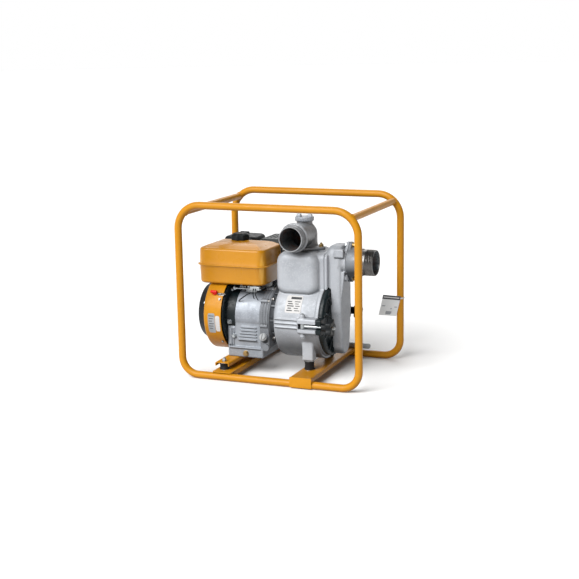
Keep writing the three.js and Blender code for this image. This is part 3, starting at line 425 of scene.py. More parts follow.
def slanted(obj):
    """Sets a form drawn along +X from the crank axis onto the slanted cylinder."""
    turn = Matrix.Rotation(math.radians(TILT), 4, "X") @ Matrix.Rotation(math.radians(90), 4, "Z")
    return moved(obj, Matrix.Translation(Vector((CYLINDER_X, CRANK_Y, CRANK_Z)) * MM) @ turn)


def on_slant(along, normal):
    """Y and Z of a point given along the cylinder and square to it."""
    c, s = math.cos(math.radians(TILT)), math.sin(math.radians(TILT))
    return (CRANK_Y + along * c - normal * s, CRANK_Z + along * s + normal * c)


def copied(node):
    return linked(frame["nodes"][node].data.copy())


# ---------------------------------------------------------------- materials
class Finish:
    """A principled material with object-space variation in colour, roughness and relief."""

    def __init__(self, name, colour, roughness, metallic=0.0, coat=0.0, specular=0.5):
        self.material = bpy.data.materials.new(name)
        self.material.use_nodes = True
        tree = self.material.node_tree
        self.nodes, self.link = tree.nodes, tree.links.new
        self.shader = self.nodes["Principled BSDF"]
        self.colour = (*colour, 1.0)
        values = {"Base Color": self.colour, "Roughness": roughness, "Metallic": metallic,
                  "Coat Weight": coat, "Coat Roughness": 0.12, "Specular IOR Level": specular}
        for socket, value in values.items():
            self.shader.inputs[socket].default_value = value
        self.place = self.nodes.new("ShaderNodeTexCoord").outputs["Object"]
        self.normal = None

    def noise(self, size, detail=3.0, stretch=(1, 1, 1)):
        """Noise with features of about the given size in millimetres."""
        mapping = self.nodes.new("ShaderNodeMapping")
        mapping.inputs["Scale"].default_value = stretch
        self.link(self.place, mapping.inputs["Vector"])
        texture = self.nodes.new("ShaderNodeTexNoise")
        texture.inputs["Scale"].default_value = 1 / (size * MM)
        texture.inputs["Detail"].default_value = detail
        self.link(mapping.outputs["Vector"], texture.inputs["Vector"])
        return texture.outputs["Fac"]

    def spread(self, source, low, high, start=0.35, end=0.65):
        """Maps a source's start and end to low and high."""
        scale = self.nodes.new("ShaderNodeMapRange")
        for socket, value in (("From Min", start), ("From Max", end), ("To Min", low), ("To Max", high)):
            scale.inputs[socket].default_value = value
        self.link(source, scale.inputs["Value"])
        return scale.outputs["Result"]

    def tint(self, source, colour, start, end, most=1.0):
        """Mixes a colour in where the source is high."""
        mix = self.nodes.new("ShaderNodeMix")
        mix.data_type = "RGBA"
        first, second = [socket for socket in mix.inputs if socket.type == "RGBA"]
        self.link(self.spread(source, 0.0, most, start, end), mix.inputs[0])
        base = self.shader.inputs["Base Color"]
        if base.is_linked:
            self.link(base.links[0].from_socket, first)
        else:
            first.default_value = self.colour
        second.default_value = (*colour, 1.0)
        self.link(next(socket for socket in mix.outputs if socket.type == "RGBA"), base)
        return self

    def mottle(self, size, colour, start=0.45, end=0.7, detail=3.0, stretch=(1, 1, 1)):
        return self.tint(self.noise(size, detail, stretch), colour, start, end)

    def gloss(self, size, low, high, detail=3.0, stretch=(1, 1, 1)):
        """Varies the roughness between low and high."""
        source = self.spread(self.noise(size, detail, stretch), low, high)
        self.link(source, self.shader.inputs["Roughness"])
        return self

    def bump(self, size, depth, detail=2.0, stretch=(1, 1, 1)):
        """Adds relief of a depth in millimetres."""
        node = self.nodes.new("ShaderNodeBump")
        node.inputs["Distance"].default_value = depth * MM
        self.link(self.noise(size, detail, stretch), node.inputs["Height"])
        if self.normal is not None:
            self.link(self.normal, node.inputs["Normal"])
        self.normal = node.outputs["Normal"]
        self.link(self.normal, self.shader.inputs["Normal"])
        return self

    def geometry(self, output):
        return self.nodes.new("ShaderNodeNewGeometry").outputs[output]

    def wear_and_edge_highlight(self, colour, start=0.52, end=0.6, most=0.7):
        """Lightens convex edges, where paint is thin or metal is rubbed; with the bright colour of the elbow's
        finish it paints highlights on the edges.
        """
        return self.tint(self.geometry("Pointiness"), colour, start, end, most)

    def shade_undersides(self, colour, most=0.75, start=-0.05, end=-0.75):
        """Darkens undersides, where light from above doesn't reach: painted shade."""
        split = self.nodes.new("ShaderNodeSeparateXYZ")
        self.link(self.geometry("Normal"), split.inputs[0])
        return self.tint(split.outputs["Z"], colour, start, end, most)

    def shade_hollows(self, colour, start=0.5, end=0.42, most=0.6):
        """Darkens hollows and creases: painted shade."""
        return self.tint(self.geometry("Pointiness"), colour, start, end, most)


def casting(name, colour, dark, roughness, metallic):
    return (
        Finish(name, colour, roughness, metallic, specular=0.22)
        .mottle(60, dark, 0.42, 0.8)
        .mottle(5, [c * 1.08 for c in colour], 0.5, 0.75)
        # darker in hollows and creases: painted shade
        .shade_hollows([c * 0.3 for c in dark], 0.49, 0.44, 0.7)
        # darker on downward faces: painted shade
        .shade_undersides([c * 0.22 for c in dark], 0.88, -0.02, -0.6)
        .wear_and_edge_highlight([min(1, c * 1.35) for c in colour], 0.53, 0.6, 0.5)
        .gloss(14, roughness - 0.07, roughness + 0.09)
        .bump(1.4, 0.05, 3).bump(26, 0.3, 2)
        .material
    )


def moulded(name, colour, lighter, roughness, grain=0.9, depth=0.04):
    return (
        Finish(name, colour, roughness, specular=0.17)
        .mottle(35, lighter, 0.45, 0.85)
        .wear_and_edge_highlight([c * 1.6 + 0.006 for c in lighter], 0.54, 0.64, 0.35)
        .gloss(9, roughness - 0.08, roughness + 0.1)
        .bump(grain, depth, 2)
        .material
    )


def metal(name, colour, dark, roughness, stretch=(1, 1, 1), size=3.0):
    return (
        Finish(name, colour, roughness, 1.0)
        .mottle(18, dark, 0.45, 0.8)
        .gloss(size, roughness - 0.07, roughness + 0.1, 4, stretch)
        .bump(size * 0.4, 0.02, 3, stretch)
        .wear_and_edge_highlight([min(1, c * 1.3) for c in colour], most=0.5)
        .material
    )


LOOK = {
    "yellow_paint": (
        Finish("yellow_enamel", (0.43, 0.182, 0.006), 0.36, coat=0.03, specular=0.16)
        .mottle(150, (0.40, 0.165, 0.005), 0.4, 0.8)
        .mottle(9, (0.45, 0.195, 0.008), 0.5, 0.8)
        # darker on downward faces: painted shade
        .shade_undersides((0.16, 0.055, 0.004), 0.55)
        .wear_and_edge_highlight((0.58, 0.31, 0.04), 0.56, 0.66, 0.35)
        .gloss(16, 0.28, 0.42)
        .bump(2.2, 0.02, 2).bump(60, 0.15, 1)
        .material
    ),
    "cast_aluminium": casting("cast_aluminium", (0.27, 0.29, 0.32), (0.18, 0.195, 0.22), 0.44, 0.3),
    "black_enamel": (
        Finish("black_enamel", (0.012, 0.015, 0.016), 0.42, specular=0.35)
        .mottle(30, (0.020, 0.025, 0.026), 0.42, 0.75)
        .wear_and_edge_highlight((0.08, 0.085, 0.085), most=0.5)
        .gloss(10, 0.3, 0.5).bump(1.8, 0.05, 3)
        .material
    ),
    "zinc_steel": metal("zinc_steel", (0.36, 0.38, 0.39), (0.20, 0.21, 0.20), 0.34),
    "dark_steel": (
        Finish("dark_steel", (0.16, 0.155, 0.15), 0.3, 1.0)
        .mottle(40, (0.12, 0.115, 0.11), 0.4, 0.8)
        .gloss(1.5, 0.26, 0.40, 3, (5, 0.2, 0.2)).bump(1.0, 0.003, 2, (5, 0.2, 0.2))
        .material
    ),
    "machined_steel": metal("machined_steel", (0.50, 0.50, 0.50), (0.32, 0.32, 0.31), 0.3, (0.2, 1, 1)),
    "brass": metal("brass", (0.38, 0.27, 0.12), (0.22, 0.15, 0.06), 0.36),
    "cast_iron": casting("cast_iron", (0.065, 0.066, 0.068), (0.035, 0.035, 0.037), 0.6, 0.5),
    "black_plastic": moulded("black_plastic", (0.005, 0.0065, 0.0075), (0.010, 0.012, 0.0135), 0.42),
    "pale_plastic": moulded("pale_plastic", (0.25, 0.26, 0.265), (0.30, 0.305, 0.305), 0.42),
    "red_plastic": moulded("red_plastic", (0.50, 0.012, 0.010), (0.56, 0.025, 0.015), 0.32),
    "white_ceramic": moulded("white_ceramic", (0.74, 0.73, 0.68), (0.80, 0.79, 0.76), 0.2, 4.0, 0.01),
    "rubber": moulded("rubber", (0.008, 0.008, 0.009), (0.015, 0.015, 0.015), 0.6, 0.7, 0.06),
    "filter_paper": moulded("filter_foam", (0.06, 0.055, 0.045), (0.10, 0.09, 0.07), 0.85, 1.2, 0.6),
    "tag_laminate": moulded("tag_laminate", (0.46, 0.47, 0.47), (0.50, 0.50, 0.50), 0.35, 6.0, 0.03),
    "polished_steel": metal("polished_steel", (0.34, 0.33, 0.31), (0.19, 0.16, 0.13), 0.36),
}
INK = moulded("label_ink", (0.03, 0.032, 0.035), (0.05, 0.052, 0.055), 0.4, 5.0, 0.02)
GREY_LABEL = moulded("grey_label", (0.16, 0.17, 0.18), (0.24, 0.25, 0.26), 0.35, 2.0, 0.02)
WHITE_LABEL = moulded("white_label", (0.41, 0.405, 0.40), (0.35, 0.345, 0.34), 0.4, 3.0, 0.02)
GREEN_BLACK = (
    Finish("cover_enamel", (0.004, 0.008, 0.0095), 0.36, specular=0.22)
    .mottle(26, (0.008, 0.014, 0.016), 0.42, 0.75).wear_and_edge_highlight((0.04, 0.048, 0.05), 0.56, 0.66, 0.4)
    .gloss(10, 0.26, 0.46).bump(1.8, 0.06, 3).material
)
RAISED = casting("pump_aluminium", (0.325, 0.34, 0.365), (0.245, 0.26, 0.28), 0.5, 0.2)
# The elbow's finish: its own mottled tone, with painted shade in hollows and on downward faces and painted
# highlights on its edges.
SHADED_HIGHLIT_ELBOW = (
    Finish("shaded_highlit_aluminium", (0.26, 0.27, 0.285), 0.42, 0.35, specular=0.3)
    .mottle(14, (0.19, 0.196, 0.205), 0.48, 0.75).mottle(34, (0.17, 0.168, 0.162), 0.5, 0.8)
    .shade_hollows((0.02, 0.021, 0.023), 0.49, 0.45, 0.85).shade_undersides((0.04, 0.042, 0.045), 0.85, 0.12, -0.6)
    .wear_and_edge_highlight((0.55, 0.56, 0.57), 0.53, 0.6, 0.6)
    .gloss(10, 0.3, 0.5).bump(1.4, 0.05, 3).bump(20, 0.3, 2)
    .material
)
# A darker copy of the casting for the PTO cover and the suction flange: painted shade, where these sit in the gap
# before the pump and face away from the key light.
SHADE_DIMMED = casting("shade_dimmed_aluminium", (0.17, 0.18, 0.195), (0.11, 0.117, 0.127), 0.46, 0.3)
# A darker copy of the casting for the adaptor: painted shade in the gap between the crankcase and the pump.
SHADED = casting("gap_shade_aluminium", (0.085, 0.09, 0.098), (0.045, 0.048, 0.052), 0.5, 0.3)
# Painted shade for the insides of bores, with reddish stains.
SHADED_BORE = (
    Finish("shaded_stained_bore", (0.10, 0.112, 0.12), 0.34, 0.3)
    .mottle(22, (0.12, 0.058, 0.038), 0.48, 0.72)
    .gloss(6, 0.24, 0.5).bump(2.0, 0.06, 3)
    .material
)
TANK_ENAMEL = (
    Finish("tank_enamel", (0.43, 0.185, 0.006), 0.3, coat=0.12, specular=0.28)
    .mottle(150, (0.41, 0.172, 0.005), 0.4, 0.8)
    # darker on downward faces: painted shade
    .shade_undersides((0.16, 0.055, 0.004), 0.5)
    .wear_and_edge_highlight((0.62, 0.36, 0.07), 0.54, 0.62, 0.45)
    .gloss(60, 0.27, 0.33, 1).bump(90, 0.05, 1)
    .material
)


# ---------------------------------------------------------------- naming the pieces
def extra(name, obj, slot, body="pump_set", sharp=35, material=None):
    """Finishes a mesh as a piece of its own."""
    obj.name = obj.data.name = name
    obj.data.materials.clear()
    obj.data.materials.append(material or LOOK[slot])
    obj.data.shade_smooth()
    obj.data.set_sharp_from_angle(angle=math.radians(sharp))
    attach(obj, body)
    return obj


def shape(node, obj, sharp=35, material=None):
    """Finishes a mesh as the shown shape of a CAD node."""
    extra(node + "_shape", obj, SLOT[node], BODY[node], sharp, material)
    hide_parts(node)
    return obj


def lined(obj, axis, centre, radius):
    """Gives the walls of a bore their own darker surface: painted shade inside the bore, with rust stains."""
    if SHADED_BORE.name not in obj.data.materials:
        obj.data.materials.append(SHADED_BORE)
    line = Vector(place(axis, 0, *centre)) * MM
    along = Vector(place(axis, 1, 0, 0))
    for face in obj.data.polygons:
        away = face.center - line
        away -= along * away.dot(along)
        if away.length < radius * MM and face.normal.dot(away) < 0:
            face.material_index = 1
    return obj


def hexagon(across, height, washer=1.5, stud=0.0):
    """A hexagon head on a washer, drawn up the Z axis from zero, with a stud end if asked."""
    r = across / 2 / math.cos(math.radians(30))
    head = lofted([[(x, y, z) for x, y in circle(s, 6)] for z, s in (
        (washer, r * 0.93), (washer + 0.8, r), (washer + height - 0.8, r), (washer + height, r * 0.9))])
    plate = turned("z", [(0, r * 1.2), (washer, r * 1.2), (washer, r * 0.5)], sides=24)
    parts = [head, plate]
    if stud:
        top = washer + height
        parts.append(turned("z", [(top - 1, across * 0.28), (top + stud - 0.8, across * 0.28),
                                  (top + stud, across * 0.2)], sides=20))
    return gather(*parts)


def hexagons(name, slot, places, across, height, stud=0.0, body="pump_set"):
    """Several hexagon heads, given as (point, direction) pairs, as one piece."""
    heads = [aimed(hexagon(across, height, stud=stud), point, way) for point, way in places]
    return extra(name, gather(*heads), slot, body)


def label(name, material, *plates):
    """Thin plates of a sticker or a card, as one piece."""
    return extra(name, gather(*plates), "tag_laminate", material=material)


def on_crank(x, radius, angle):
    """A point at a radius and angle round the crank axis."""
    a = math.radians(angle)
    return (x, CRANK_Y + radius * math.cos(a), CRANK_Z + radius * math.sin(a))


# ---------------------------------------------------------------- frame
def build_frame():
    x, _, z = span("frame_front_loop")
    half_x, top, bottom = x[1] - TUBE, z[1] - TUBE, z[0] + TUBE
    for node in ("frame_front_loop", "frame_rear_loop"):
        y = middle(span(node)[1])
        corners = [(0, bottom), (half_x, bottom), (half_x, top), (-half_x, top), (-half_x, bottom),
                   (0, bottom)]
        bends = (BOTTOM_BEND, TOP_BEND, TOP_BEND, BOTTOM_BEND)
        path = bent_path([(u, y, v) for u, v in corners], bends, 14, True)
        shape(node, sweep(path, TUBE, 36, True))

    loop_y = middle(span("frame_rear_loop")[1])
    radius = TUBE * 0.95
    for side, node in ((-1, "cross_tube_left"), (1, "cross_tube_right")):
        inset = TOP_BEND * (1 - math.sqrt(0.5))
        centre = (side * (half_x - inset), top - inset)
        shape(node, rod("y", radius, (-loop_y + 3, loop_y - 3), centre))
        beads = []
        for end in (-1, 1):
            path = []
            for k in range(72):
                a = 2 * math.pi * k / 72
                u, v = radius * math.cos(a), radius * math.sin(a)
                across = (side * u + v) / math.sqrt(2)  # distance off the loop tube's axis, in its plane
                y = loop_y - math.sqrt(TUBE ** 2 - across ** 2)
                path.append(Vector((centre[0] + u * 1.04, end * (y - 0.6), centre[1] + v * 1.04)))
            beads.append(sweep(path, 2.3, 10, True, lambda k: 1 + 0.13 * math.sin(k * 2 * math.pi / 4)))
        extra(node + "_welds", gather(*beads), "yellow_paint")


def channel(x, z, thickness=SHEET, bend=5.5):
    """Section of a folded rail that is open below."""
    (x0, x1), (z0, z1) = x, z
    inner = bend - thickness
    return (
        [(x0, z0)] + arc((x0 + bend, z1 - bend), bend, 180, 90) + arc((x1 - bend, z1 - bend), bend, 90, 0)
        + [(x1, z0), (x1 - thickness, z0)] + arc((x1 - bend, z1 - bend), inner, 0, 90)
        + arc((x0 + bend, z1 - bend), inner, 90, 180) + [(x0 + thickness, z0)]
    )


def build_rails():
    x, y, z = span("pump_rail")
    base = z[1] - 13.2
    rail = prism("y", channel(x, (base, z[1])), grow(y, -SHEET / 2))
    for end in y:
        inside = end + (SHEET if end < 0 else -SHEET)
        rail = fuse(rail, stacked("y", plan(x, z, 3), [(v, 0) for v in sorted((inside, end))]))
    shape("pump_rail", soften(rail, 0.7))

    x, y, z = span("engine_rail")
    loop = span("frame_front_loop")[1][1]
    rail = prism("y", channel(x, z), (loop + 1, -loop - 1))
    plate = prism("z", rounded(x, y, 6), (z[1] - SHEET, z[1]))
    shape("engine_rail", soften(fuse(rail, plate), 0.7))

    x, y, z = span("engine_bracket")
    shape("engine_bracket", soften(prism("y", channel(x, z), y), 0.6))

    x, y, z = span("rear_stop_bar")
    shape("rear_stop_bar", stacked("y", plan(x, z, (z[1] - z[0]) / 2), levels(*y, 1.2, 1.2, 3)))

    places = []
    for end in ("front", "rear"):
        x, y, z = span("engine_mount_" + end)
        places.append(((middle(x), middle(y), span("engine_bracket")[2][1]), UP))
    hexagons("engine_mount_nuts", "zinc_steel", places, 13, 6.5, 5)
    beads = []
    for rail, x, half, drop in (("engine_rail", -170, 34, 6.5), ("pump_rail", 121, 38, 15.2)):
        for y in (-227, 227):
            for side in (-1, 1):
                start = Vector((x + side * half, y - 8, span(rail)[2][1] - drop))
                run = [start + Vector((0, 4 * k, 1.6 * math.sin(math.pi * k / 4))) for k in range(5)]
                beads.append(sweep(run, 2.2, 8, ripple=lambda k: 1 - 0.2 * (k % 2)))
    extra("rail_welds", gather(*beads), "yellow_paint")


def build_mounts():
    for node in ("engine_mount_front", "engine_mount_rear", "pump_mount_front", "pump_mount_rear"):
        x, y, z = span(node)
        r, centre = (x[1] - x[0]) / 2 * 0.985, (middle(x), middle(y))
        shape(node, turned("z", [
            (z[0] + 1.6, r * 0.94), (z[0] + 2.4, r), (z[0] + 5, r), (z[0] + 6.5, r * 0.93),
            (middle(z), r * 0.89),
            (z[1] - 6.5, r * 0.93), (z[1] - 5, r), (z[1] - 2.4, r), (z[1] - 1.6, r * 0.94),
        ], centre, 48))
        plates = [turned("z", [(low, r * 0.96), (low + 0.2, r * 0.98), (low + 1.7, r * 0.98)], centre, 48)
                  for low in (z[0], z[1] - 1.7)]
        extra(node + "_plates", gather(*plates), "zinc_steel")


def build_tag():
    """A card that hangs askew in front of the rear loop's tube, from a tie round the tube."""
    x, _, z = span("info_tag")
    loop_x, loop_y = span("frame_front_loop")[0][1] - TUBE, middle(span("frame_rear_loop")[1])
    front = loop_y - TUBE - 2.3
    low_left, low_right = Vector((x[0], z[0] + 0.2)), Vector((x[1] - 26, z[0]))
    top_left, top_right = Vector((x[0] + 16.7, z[1])), Vector((327.9, z[1] - 1.6))

    def across(u, v):
        """A point on the card from shares of its width and height."""
        return low_left.lerp(low_right, u).lerp(top_left.lerp(top_right, u), v)

    def panel(u, v, depth, steps=8):
        """A part of the card, between shares of its width and height, that curls forward at the foot."""
        rings = []
        for k in range(steps + 1):
            share = v[0] + (v[1] - v[0]) * k / steps
            curl = 1.5 * (1 - share) ** 2
            left, right = across(u[0], share), across(u[1], share)
            left_y, right_y = front - curl, front - curl * 0.4
            rings.append([(left.x, left_y + depth[0], left.y), (right.x, right_y + depth[0], right.y),
                          (right.x, right_y + depth[1], right.y), (left.x, left_y + depth[1], left.y)])
        return lofted(rings)

    tie = turned("z", [(226, TUBE + 1.4), (226, TUBE + 2.3), (227, TUBE + 2.5), (230, TUBE + 2.5),
                       (231, TUBE + 2.3), (231, TUBE + 1.4)], (loop_x, loop_y), 40, True)
    shape("info_tag", gather(panel((0, 1), (0, 1), (0, 1.2)), tie))
    label("tag_header", INK, panel((0.0, 1.0), (0.80, 1.0), (-0.2, 0.1), 3))
    label("tag_header_line", WHITE_LABEL, panel((0.06, 0.94), (0.875, 0.925), (-0.35, 0.0), 2))
    blocks = (((0.08, 0.30), (0.44, 0.49)), ((0.78, 0.93), (0.42, 0.47)),
              ((0.36, 0.72), (0.06, 0.22)), ((0.58, 0.66), (0.32, 0.38)))
    label("tag_blocks", GREY_LABEL, *[panel(u, v, (-0.15, 0.1), 2) for u, v in blocks])


# ---------------------------------------------------------------- engine
def case_outline(radius, front, back, bottom):
    """Crankcase section: a round top on a straight-sided foot, in Y and Z."""
    start = math.degrees(math.asin(-20 / radius))
    return arc(CRANK, radius, start, 180 - start, 40) + [(front, bottom), (back, bottom)]


def finned(along, half_width, half_height, fins, thickness, depth, core):
    """A cylinder or head with fins, drawn along +X. fins are the starts of the fins."""
    rows = [(along[0], depth)]
    for start in fins:
        rows += [(start, depth), (start + 0.5, 0.5), (start + 1, 0), (start + thickness - 1, 0),
                 (start + thickness - 0.5, 0.5), (start + thickness, depth)]
    rows.append((along[1], depth))
    # A fin at the very start would repeat the first row.
    rows = rows[:1] + [row for last, row in zip(rows, rows[1:])
                       if row[0] > last[0] + 1e-6 or row[1] != last[1]]
    return stacked("x", plan((-half_width, half_width), (-half_height, half_height), core), rows)


def build_block():
    left, right = -166, -72
    solids = [
        prism("x", case_outline(88, -122, 40, 94), (left, right)),
        prism("x", rounded((-122, 40), (90, 168), 6), (-196, right + 1)),
        prism("z", rounded((-195, -62), (-127, 70), 7), (60, 96)),
        box((-188, -70), (-130, -110), (90, 96)),
        slanted(box((60, 92), (-42, 42), (-44, 44))),
        box((-195, -179), (-129, -112), (174, 190)),  # lifting pad at the top of the foot
        rod("y", 8, (-128, -112), (-170, 133)),
        rod("y", 9, (-129.5, -112), (-126, 74)),
        box((-155, -83), (-124.5, -118), (116, 172)),
    ]
    for k in range(5):
        solids.append(box((-155 + 3 * k, -86), (-129.5, -118), (120 + 11 * k, 124.5 + 11 * k)))
    for k in range(3):
        solids.append(box((-192 + 8 * k, -188 + 8 * k), (-127, -118), (100, 160)))
    for y in (-100, 30):
        solids += [rod("z", 9, (60, 104), (x, y)) for x in (-184, -74)]
    body = cast(*solids, voxel=1.7, passes=5, share=0.35)
    inner = left + 8
    body = cut(body, rod("x", 68, (inner, right + 2), CRANK),
               box((inner, right + 2), (-110, 28), (70, 160)),
               rod("x", 17, (-200, inner + 2), CRANK))
    barrel = finned((84, 150), 52, 54, [94 + 9 * k for k in range(7) if 97 + 9 * k < 150], 3, 10, 12)
    bore = slanted(rod("x", 33, (20, 152), (0, 0)))
    body = cut(fuse(body, slanted(barrel)), bore)
    shape("engine_block", body)

    shell = stacked("x", lambda inset: case_outline(92 - inset, -125 + inset, 46 - inset, 96.3 + inset),
                    levels(-71.7, -38, 1.5, 4))
    solids = [shell]
    for x in (-64, -54, -44):
        ring = rod("x", 94.5, (x, x + 3.8), CRANK, sides=120)
        solids.append(cut(ring, box((x - 1, x + 6), (-160, 80), (80, 182))))
    solids.append(box((-71.7, -43), (-134, -118), (172, 180)))
    neck = aimed(rod("z", 13, (-14, 19.5), (0, 0)), OIL_NECK, PLUG_AXIS)
    solids += [neck, rod("y", 13, (-131, -110), (-51, 100), 11)]
    bolts = [on_crank(-45.2, 93, angle) for angle in (20, 60, 100, 140)]
    solids += [rod("x", 8, (-71.7, -45), point[1:], sides=24) for point in bolts]
    case = cast(*solids, voxel=1.5, passes=4, share=0.35)
    case = cut(case, rod("x", 62, (-75, -50), CRANK), rod("x", 17, (-80, -30), CRANK))
    # the cover's darker finish is painted shade in the gap before the pump
    shape("pto_cover", case, material=SHADE_DIMMED)
    hexagons("pto_cover_bolts", "dark_steel", [(point, RIGHT) for point in bolts], 10, 5)

    rows = [(20.3, 13.4), (22, 14), (25, 14), (26.5, 13.2), (27, 11), (31.5, 10.6), (32, 9.8)]
    plug = turned("z", rows, sides=48, shape=knurled(18, 0.035, 13.3))
    plug = cut(plug, box((-2.2, 2.2), (-14, 14), (28.6, 34)))
    shape("oil_plug", aimed(plug, OIL_NECK, PLUG_AXIS))
    shape("oil_drain_bolt", aimed(hexagon(15, 7, 2), (-126, -127.3, 74), FRONT))
    front = [(-170, -128, 133), (-187, -129, 182)]
    hexagons("block_bolts", "zinc_steel", [(point, FRONT) for point in front], 10, 5)
    hexagons("base_bolts", "zinc_steel", [((-184, y, 104), UP) for y in (-100, 30)], 12, 6, 3)
    hexagons("sump_bolts", "zinc_steel", [((-74, -100, 103.5), UP)], 12, 6, 3)


def build_head():
    start = 150.3
    head = finned((start, 196), 54, 54, [start + 8 + 9 * k for k in range(4)], 3, 8, 12)
    head = fuse(head, *[rod("x", 8, (start, 196), (y, z), sides=24) for y in (-40, 40) for z in (-40, 40)])
    head = cut(head, rod("x", 30, (start - 1, start + 12), (0, 0)))
    shape("cylinder_head", slanted(head))
    cover = stacked("x", plan((-42, 42), (-38, 38), 12), levels(196.3, 202, 0, 1.5, 3))
    top = stacked("x", plan((-36, 36), (-32, 32), 10), levels(199, 232, 0, 7, 5))
    ridge = stacked("x", plan((-24, 24), (-5, 5), 4), levels(228, 233.5, 0, 2, 3))
    shape("rocker_cover", slanted(cut(fuse(cover, top, ridge), box((190, 226), (-33, 33), (-29, 29)))))
    bolts = [slanted(aimed(hexagon(10, 5), (201.8, y, z), RIGHT))
             for y in (-37.5, 37.5) for z in (-33.5, 33.5)]
    extra("rocker_cover_bolts", gather(*bolts), "zinc_steel")

    centre = on_slant(178, -34)
    tip = span("spark_plug")[0][1]
    body = lofted([[place("x", tip - back, *p) for p in circle(r, 6, centre)]
                   for back, r in ((8, 9.3), (7.2, 10), (0.8, 10), (0, 9.6))])
    rows = ((22, 3), (21.5, 4.6), (18, 4.6), (17, 5), (9, 5), (7.5, 6))
    neck = turned("x", [(tip - back, r) for back, r in rows], centre, 32)
    shape("spark_plug", gather(body, neck))
    tip = span("ignition_lead")[0][1]
    rows = ((18, 5), (17, 8.2), (13, 9), (3, 9), (1.5, 9.4), (0, 9.4), (0, 6))
    boot = turned("x", [(tip - back, r) for back, r in rows], centre, 32)
    lead_x = tip - 30
    corners = [(lead_x + 20, *centre), (lead_x, *centre), (lead_x, 116, 232), (lead_x, 87, 232)]
    path = bent_path(corners, (10, 16), 8)
    shape("ignition_lead", gather(boot, sweep(path, 3.5, 16)))


def blower_outline(inset):
    """Fan housing section: a round drum with a duct towards the cylinder, cut flat under the tank."""
    r = BLOWER_R - inset
    right, low, top = 76 - inset, 136 + inset - CRANK_Z, 309.5 - inset - CRANK_Z
    start, end = math.degrees(math.asin(low / r)), 180 - math.degrees(math.asin(top / r))
    drum = arc(CRANK, r, end, 360 + start, 90)
    return drum + [(right, low + CRANK_Z), (right, top + CRANK_Z - 8), (right - 2.5, top + CRANK_Z - 2.5),
                   (right - 8, top + CRANK_Z)]


def build_blower():
    x0, x1 = -267, -200
    shell = stacked("x", blower_outline, levels(x0, x1, 9, 0, 6))
    hollow = stacked("x", lambda inset: blower_outline(inset + 2.4), levels(x0 + 2.4, x1 + 1, 8, 0, 4))
    shell = cut(shell, hollow, rod("x", 104, (x0 - 2, x0 + 16), CRANK, sides=96))
    shape("blower_housing", shell)
    shape("blower_backplate", soften(copied("blower_backplate"), 0.6), material=GREEN_BLACK)

    label("rating_plate", GREY_LABEL, patch(BLOWER_R + 0.05, (-249, -222), 172.5, 204, 0.5))
    label("rating_plate_strip", WHITE_LABEL, patch(BLOWER_R + 0.05, (-221, -204), 176, 201, 0.6))
    rows = []
    for k in range(6):
        ends = (-246 + 2 * (k % 2), -226 - 3 * (k % 3))
        rows.append(patch(BLOWER_R + 0.6, ends, 176 + 4 * k, 177 + 4 * k, 0.15, 3, 0))
    label("rating_plate_print", INK, *rows)

    screws = []
    for angle in (150, 222, 262, 310):
        turn = math.radians(angle)
        screws.append((on_crank(x0 + 58, BLOWER_R, angle), (0, math.cos(turn), math.sin(turn))))
    hexagons("blower_screws", "dark_steel", screws, 7, 3)
    lift = CRANK_Z + BLOWER_R
    strap = box((-219, -197), about(CRANK_Y, 5), (lift - 0.3, lift + 1.4))
    stalk = rod("x", 2.2, (-221, -190), (CRANK_Y, lift + 3.2), sides=20)
    clip = rod("x", 3.6, (-212, -205), (CRANK_Y, lift + 3.2), sides=24)
    # Drawn at the top of the drum, then turned down its front.
    extra("switch_bracket", spun(gather(soften(strap, 0.5), stalk, clip), 52), "dark_steel")


def build_starter():
    base = -267.3
    outer = base - 43
    rows = ((43, 0.01), (43, 40), (42.4, 60), (41, 72), (38, 84), (34, 94), (26, 99), (9, 105), (5, 108),
            (4, 111), (2.5, 112), (0, 112), (0, 102), (6, 102), (31, 91), (37, 70), (40, 0.01))
    cover = turned("x", [(base - out, r) for out, r in rows], CRANK, 96)
    cover = fuse(cover, rod("y", 9, (40, 66), (ROPE_X, ROPE_Z)), rod("x", 8, (outer + 2, base - 12), CRANK))
    slot = rounded(about(CRANK_Y, 4.5), (CRANK_Z + 54, CRANK_Z + 84), 4.4)
    slots = [spun(prism("x", slot, (outer - 5, base - 20)), 22.5 + 30 * k) for k in range(12)]
    cover = cut(cover, *slots, rod("y", 4, (20, 70), (ROPE_X, ROPE_Z)))
    shape("recoil_cover", cover)
    screws = [(on_crank(base - 4.5, 107, angle), LEFT) for angle in (35, 155, 275)]
    hexagons("recoil_screws", "zinc_steel", screws, 8, 4)

    rows = ((-6, 9), (-6, 49), (-4.5, 50), (-3.5, 50), (-2, 44),
            (2, 44), (3.5, 50), (4.5, 50), (6, 49), (6, 9))
    shape("starter_pulley", turned("x", [(ROPE_X + out, r) for out, r in rows], CRANK, 72, True))
    x, _, z = span("recoil_grip")
    ends = ((0, 6), (1.5, 3), (5, 1), (12, 0))
    rows = [(z[0] + from_end, inset) for from_end, inset in ends]
    rows += [(middle(z) + offset, inset) for offset, inset in ((-18, 1.5), (0, 0), (18, 1.5))]
    rows += [(z[1] - from_end, inset) for from_end, inset in reversed(ends)]
    grip = stacked("z", lambda inset: rounded(grow(x, -inset - 1), grow((66.3, 92), -inset - 1),
                                              max(9 - inset, 2)), rows)
    rope = sweep([Vector((ROPE_X, v, ROPE_Z)) for v in stations(CRANK_Y, 70, 1.5)], 2.1, 12,
                 ripple=lambda k: 1 - 0.12 * (k % 2))
    shape("recoil_grip", gather(grip, rope))


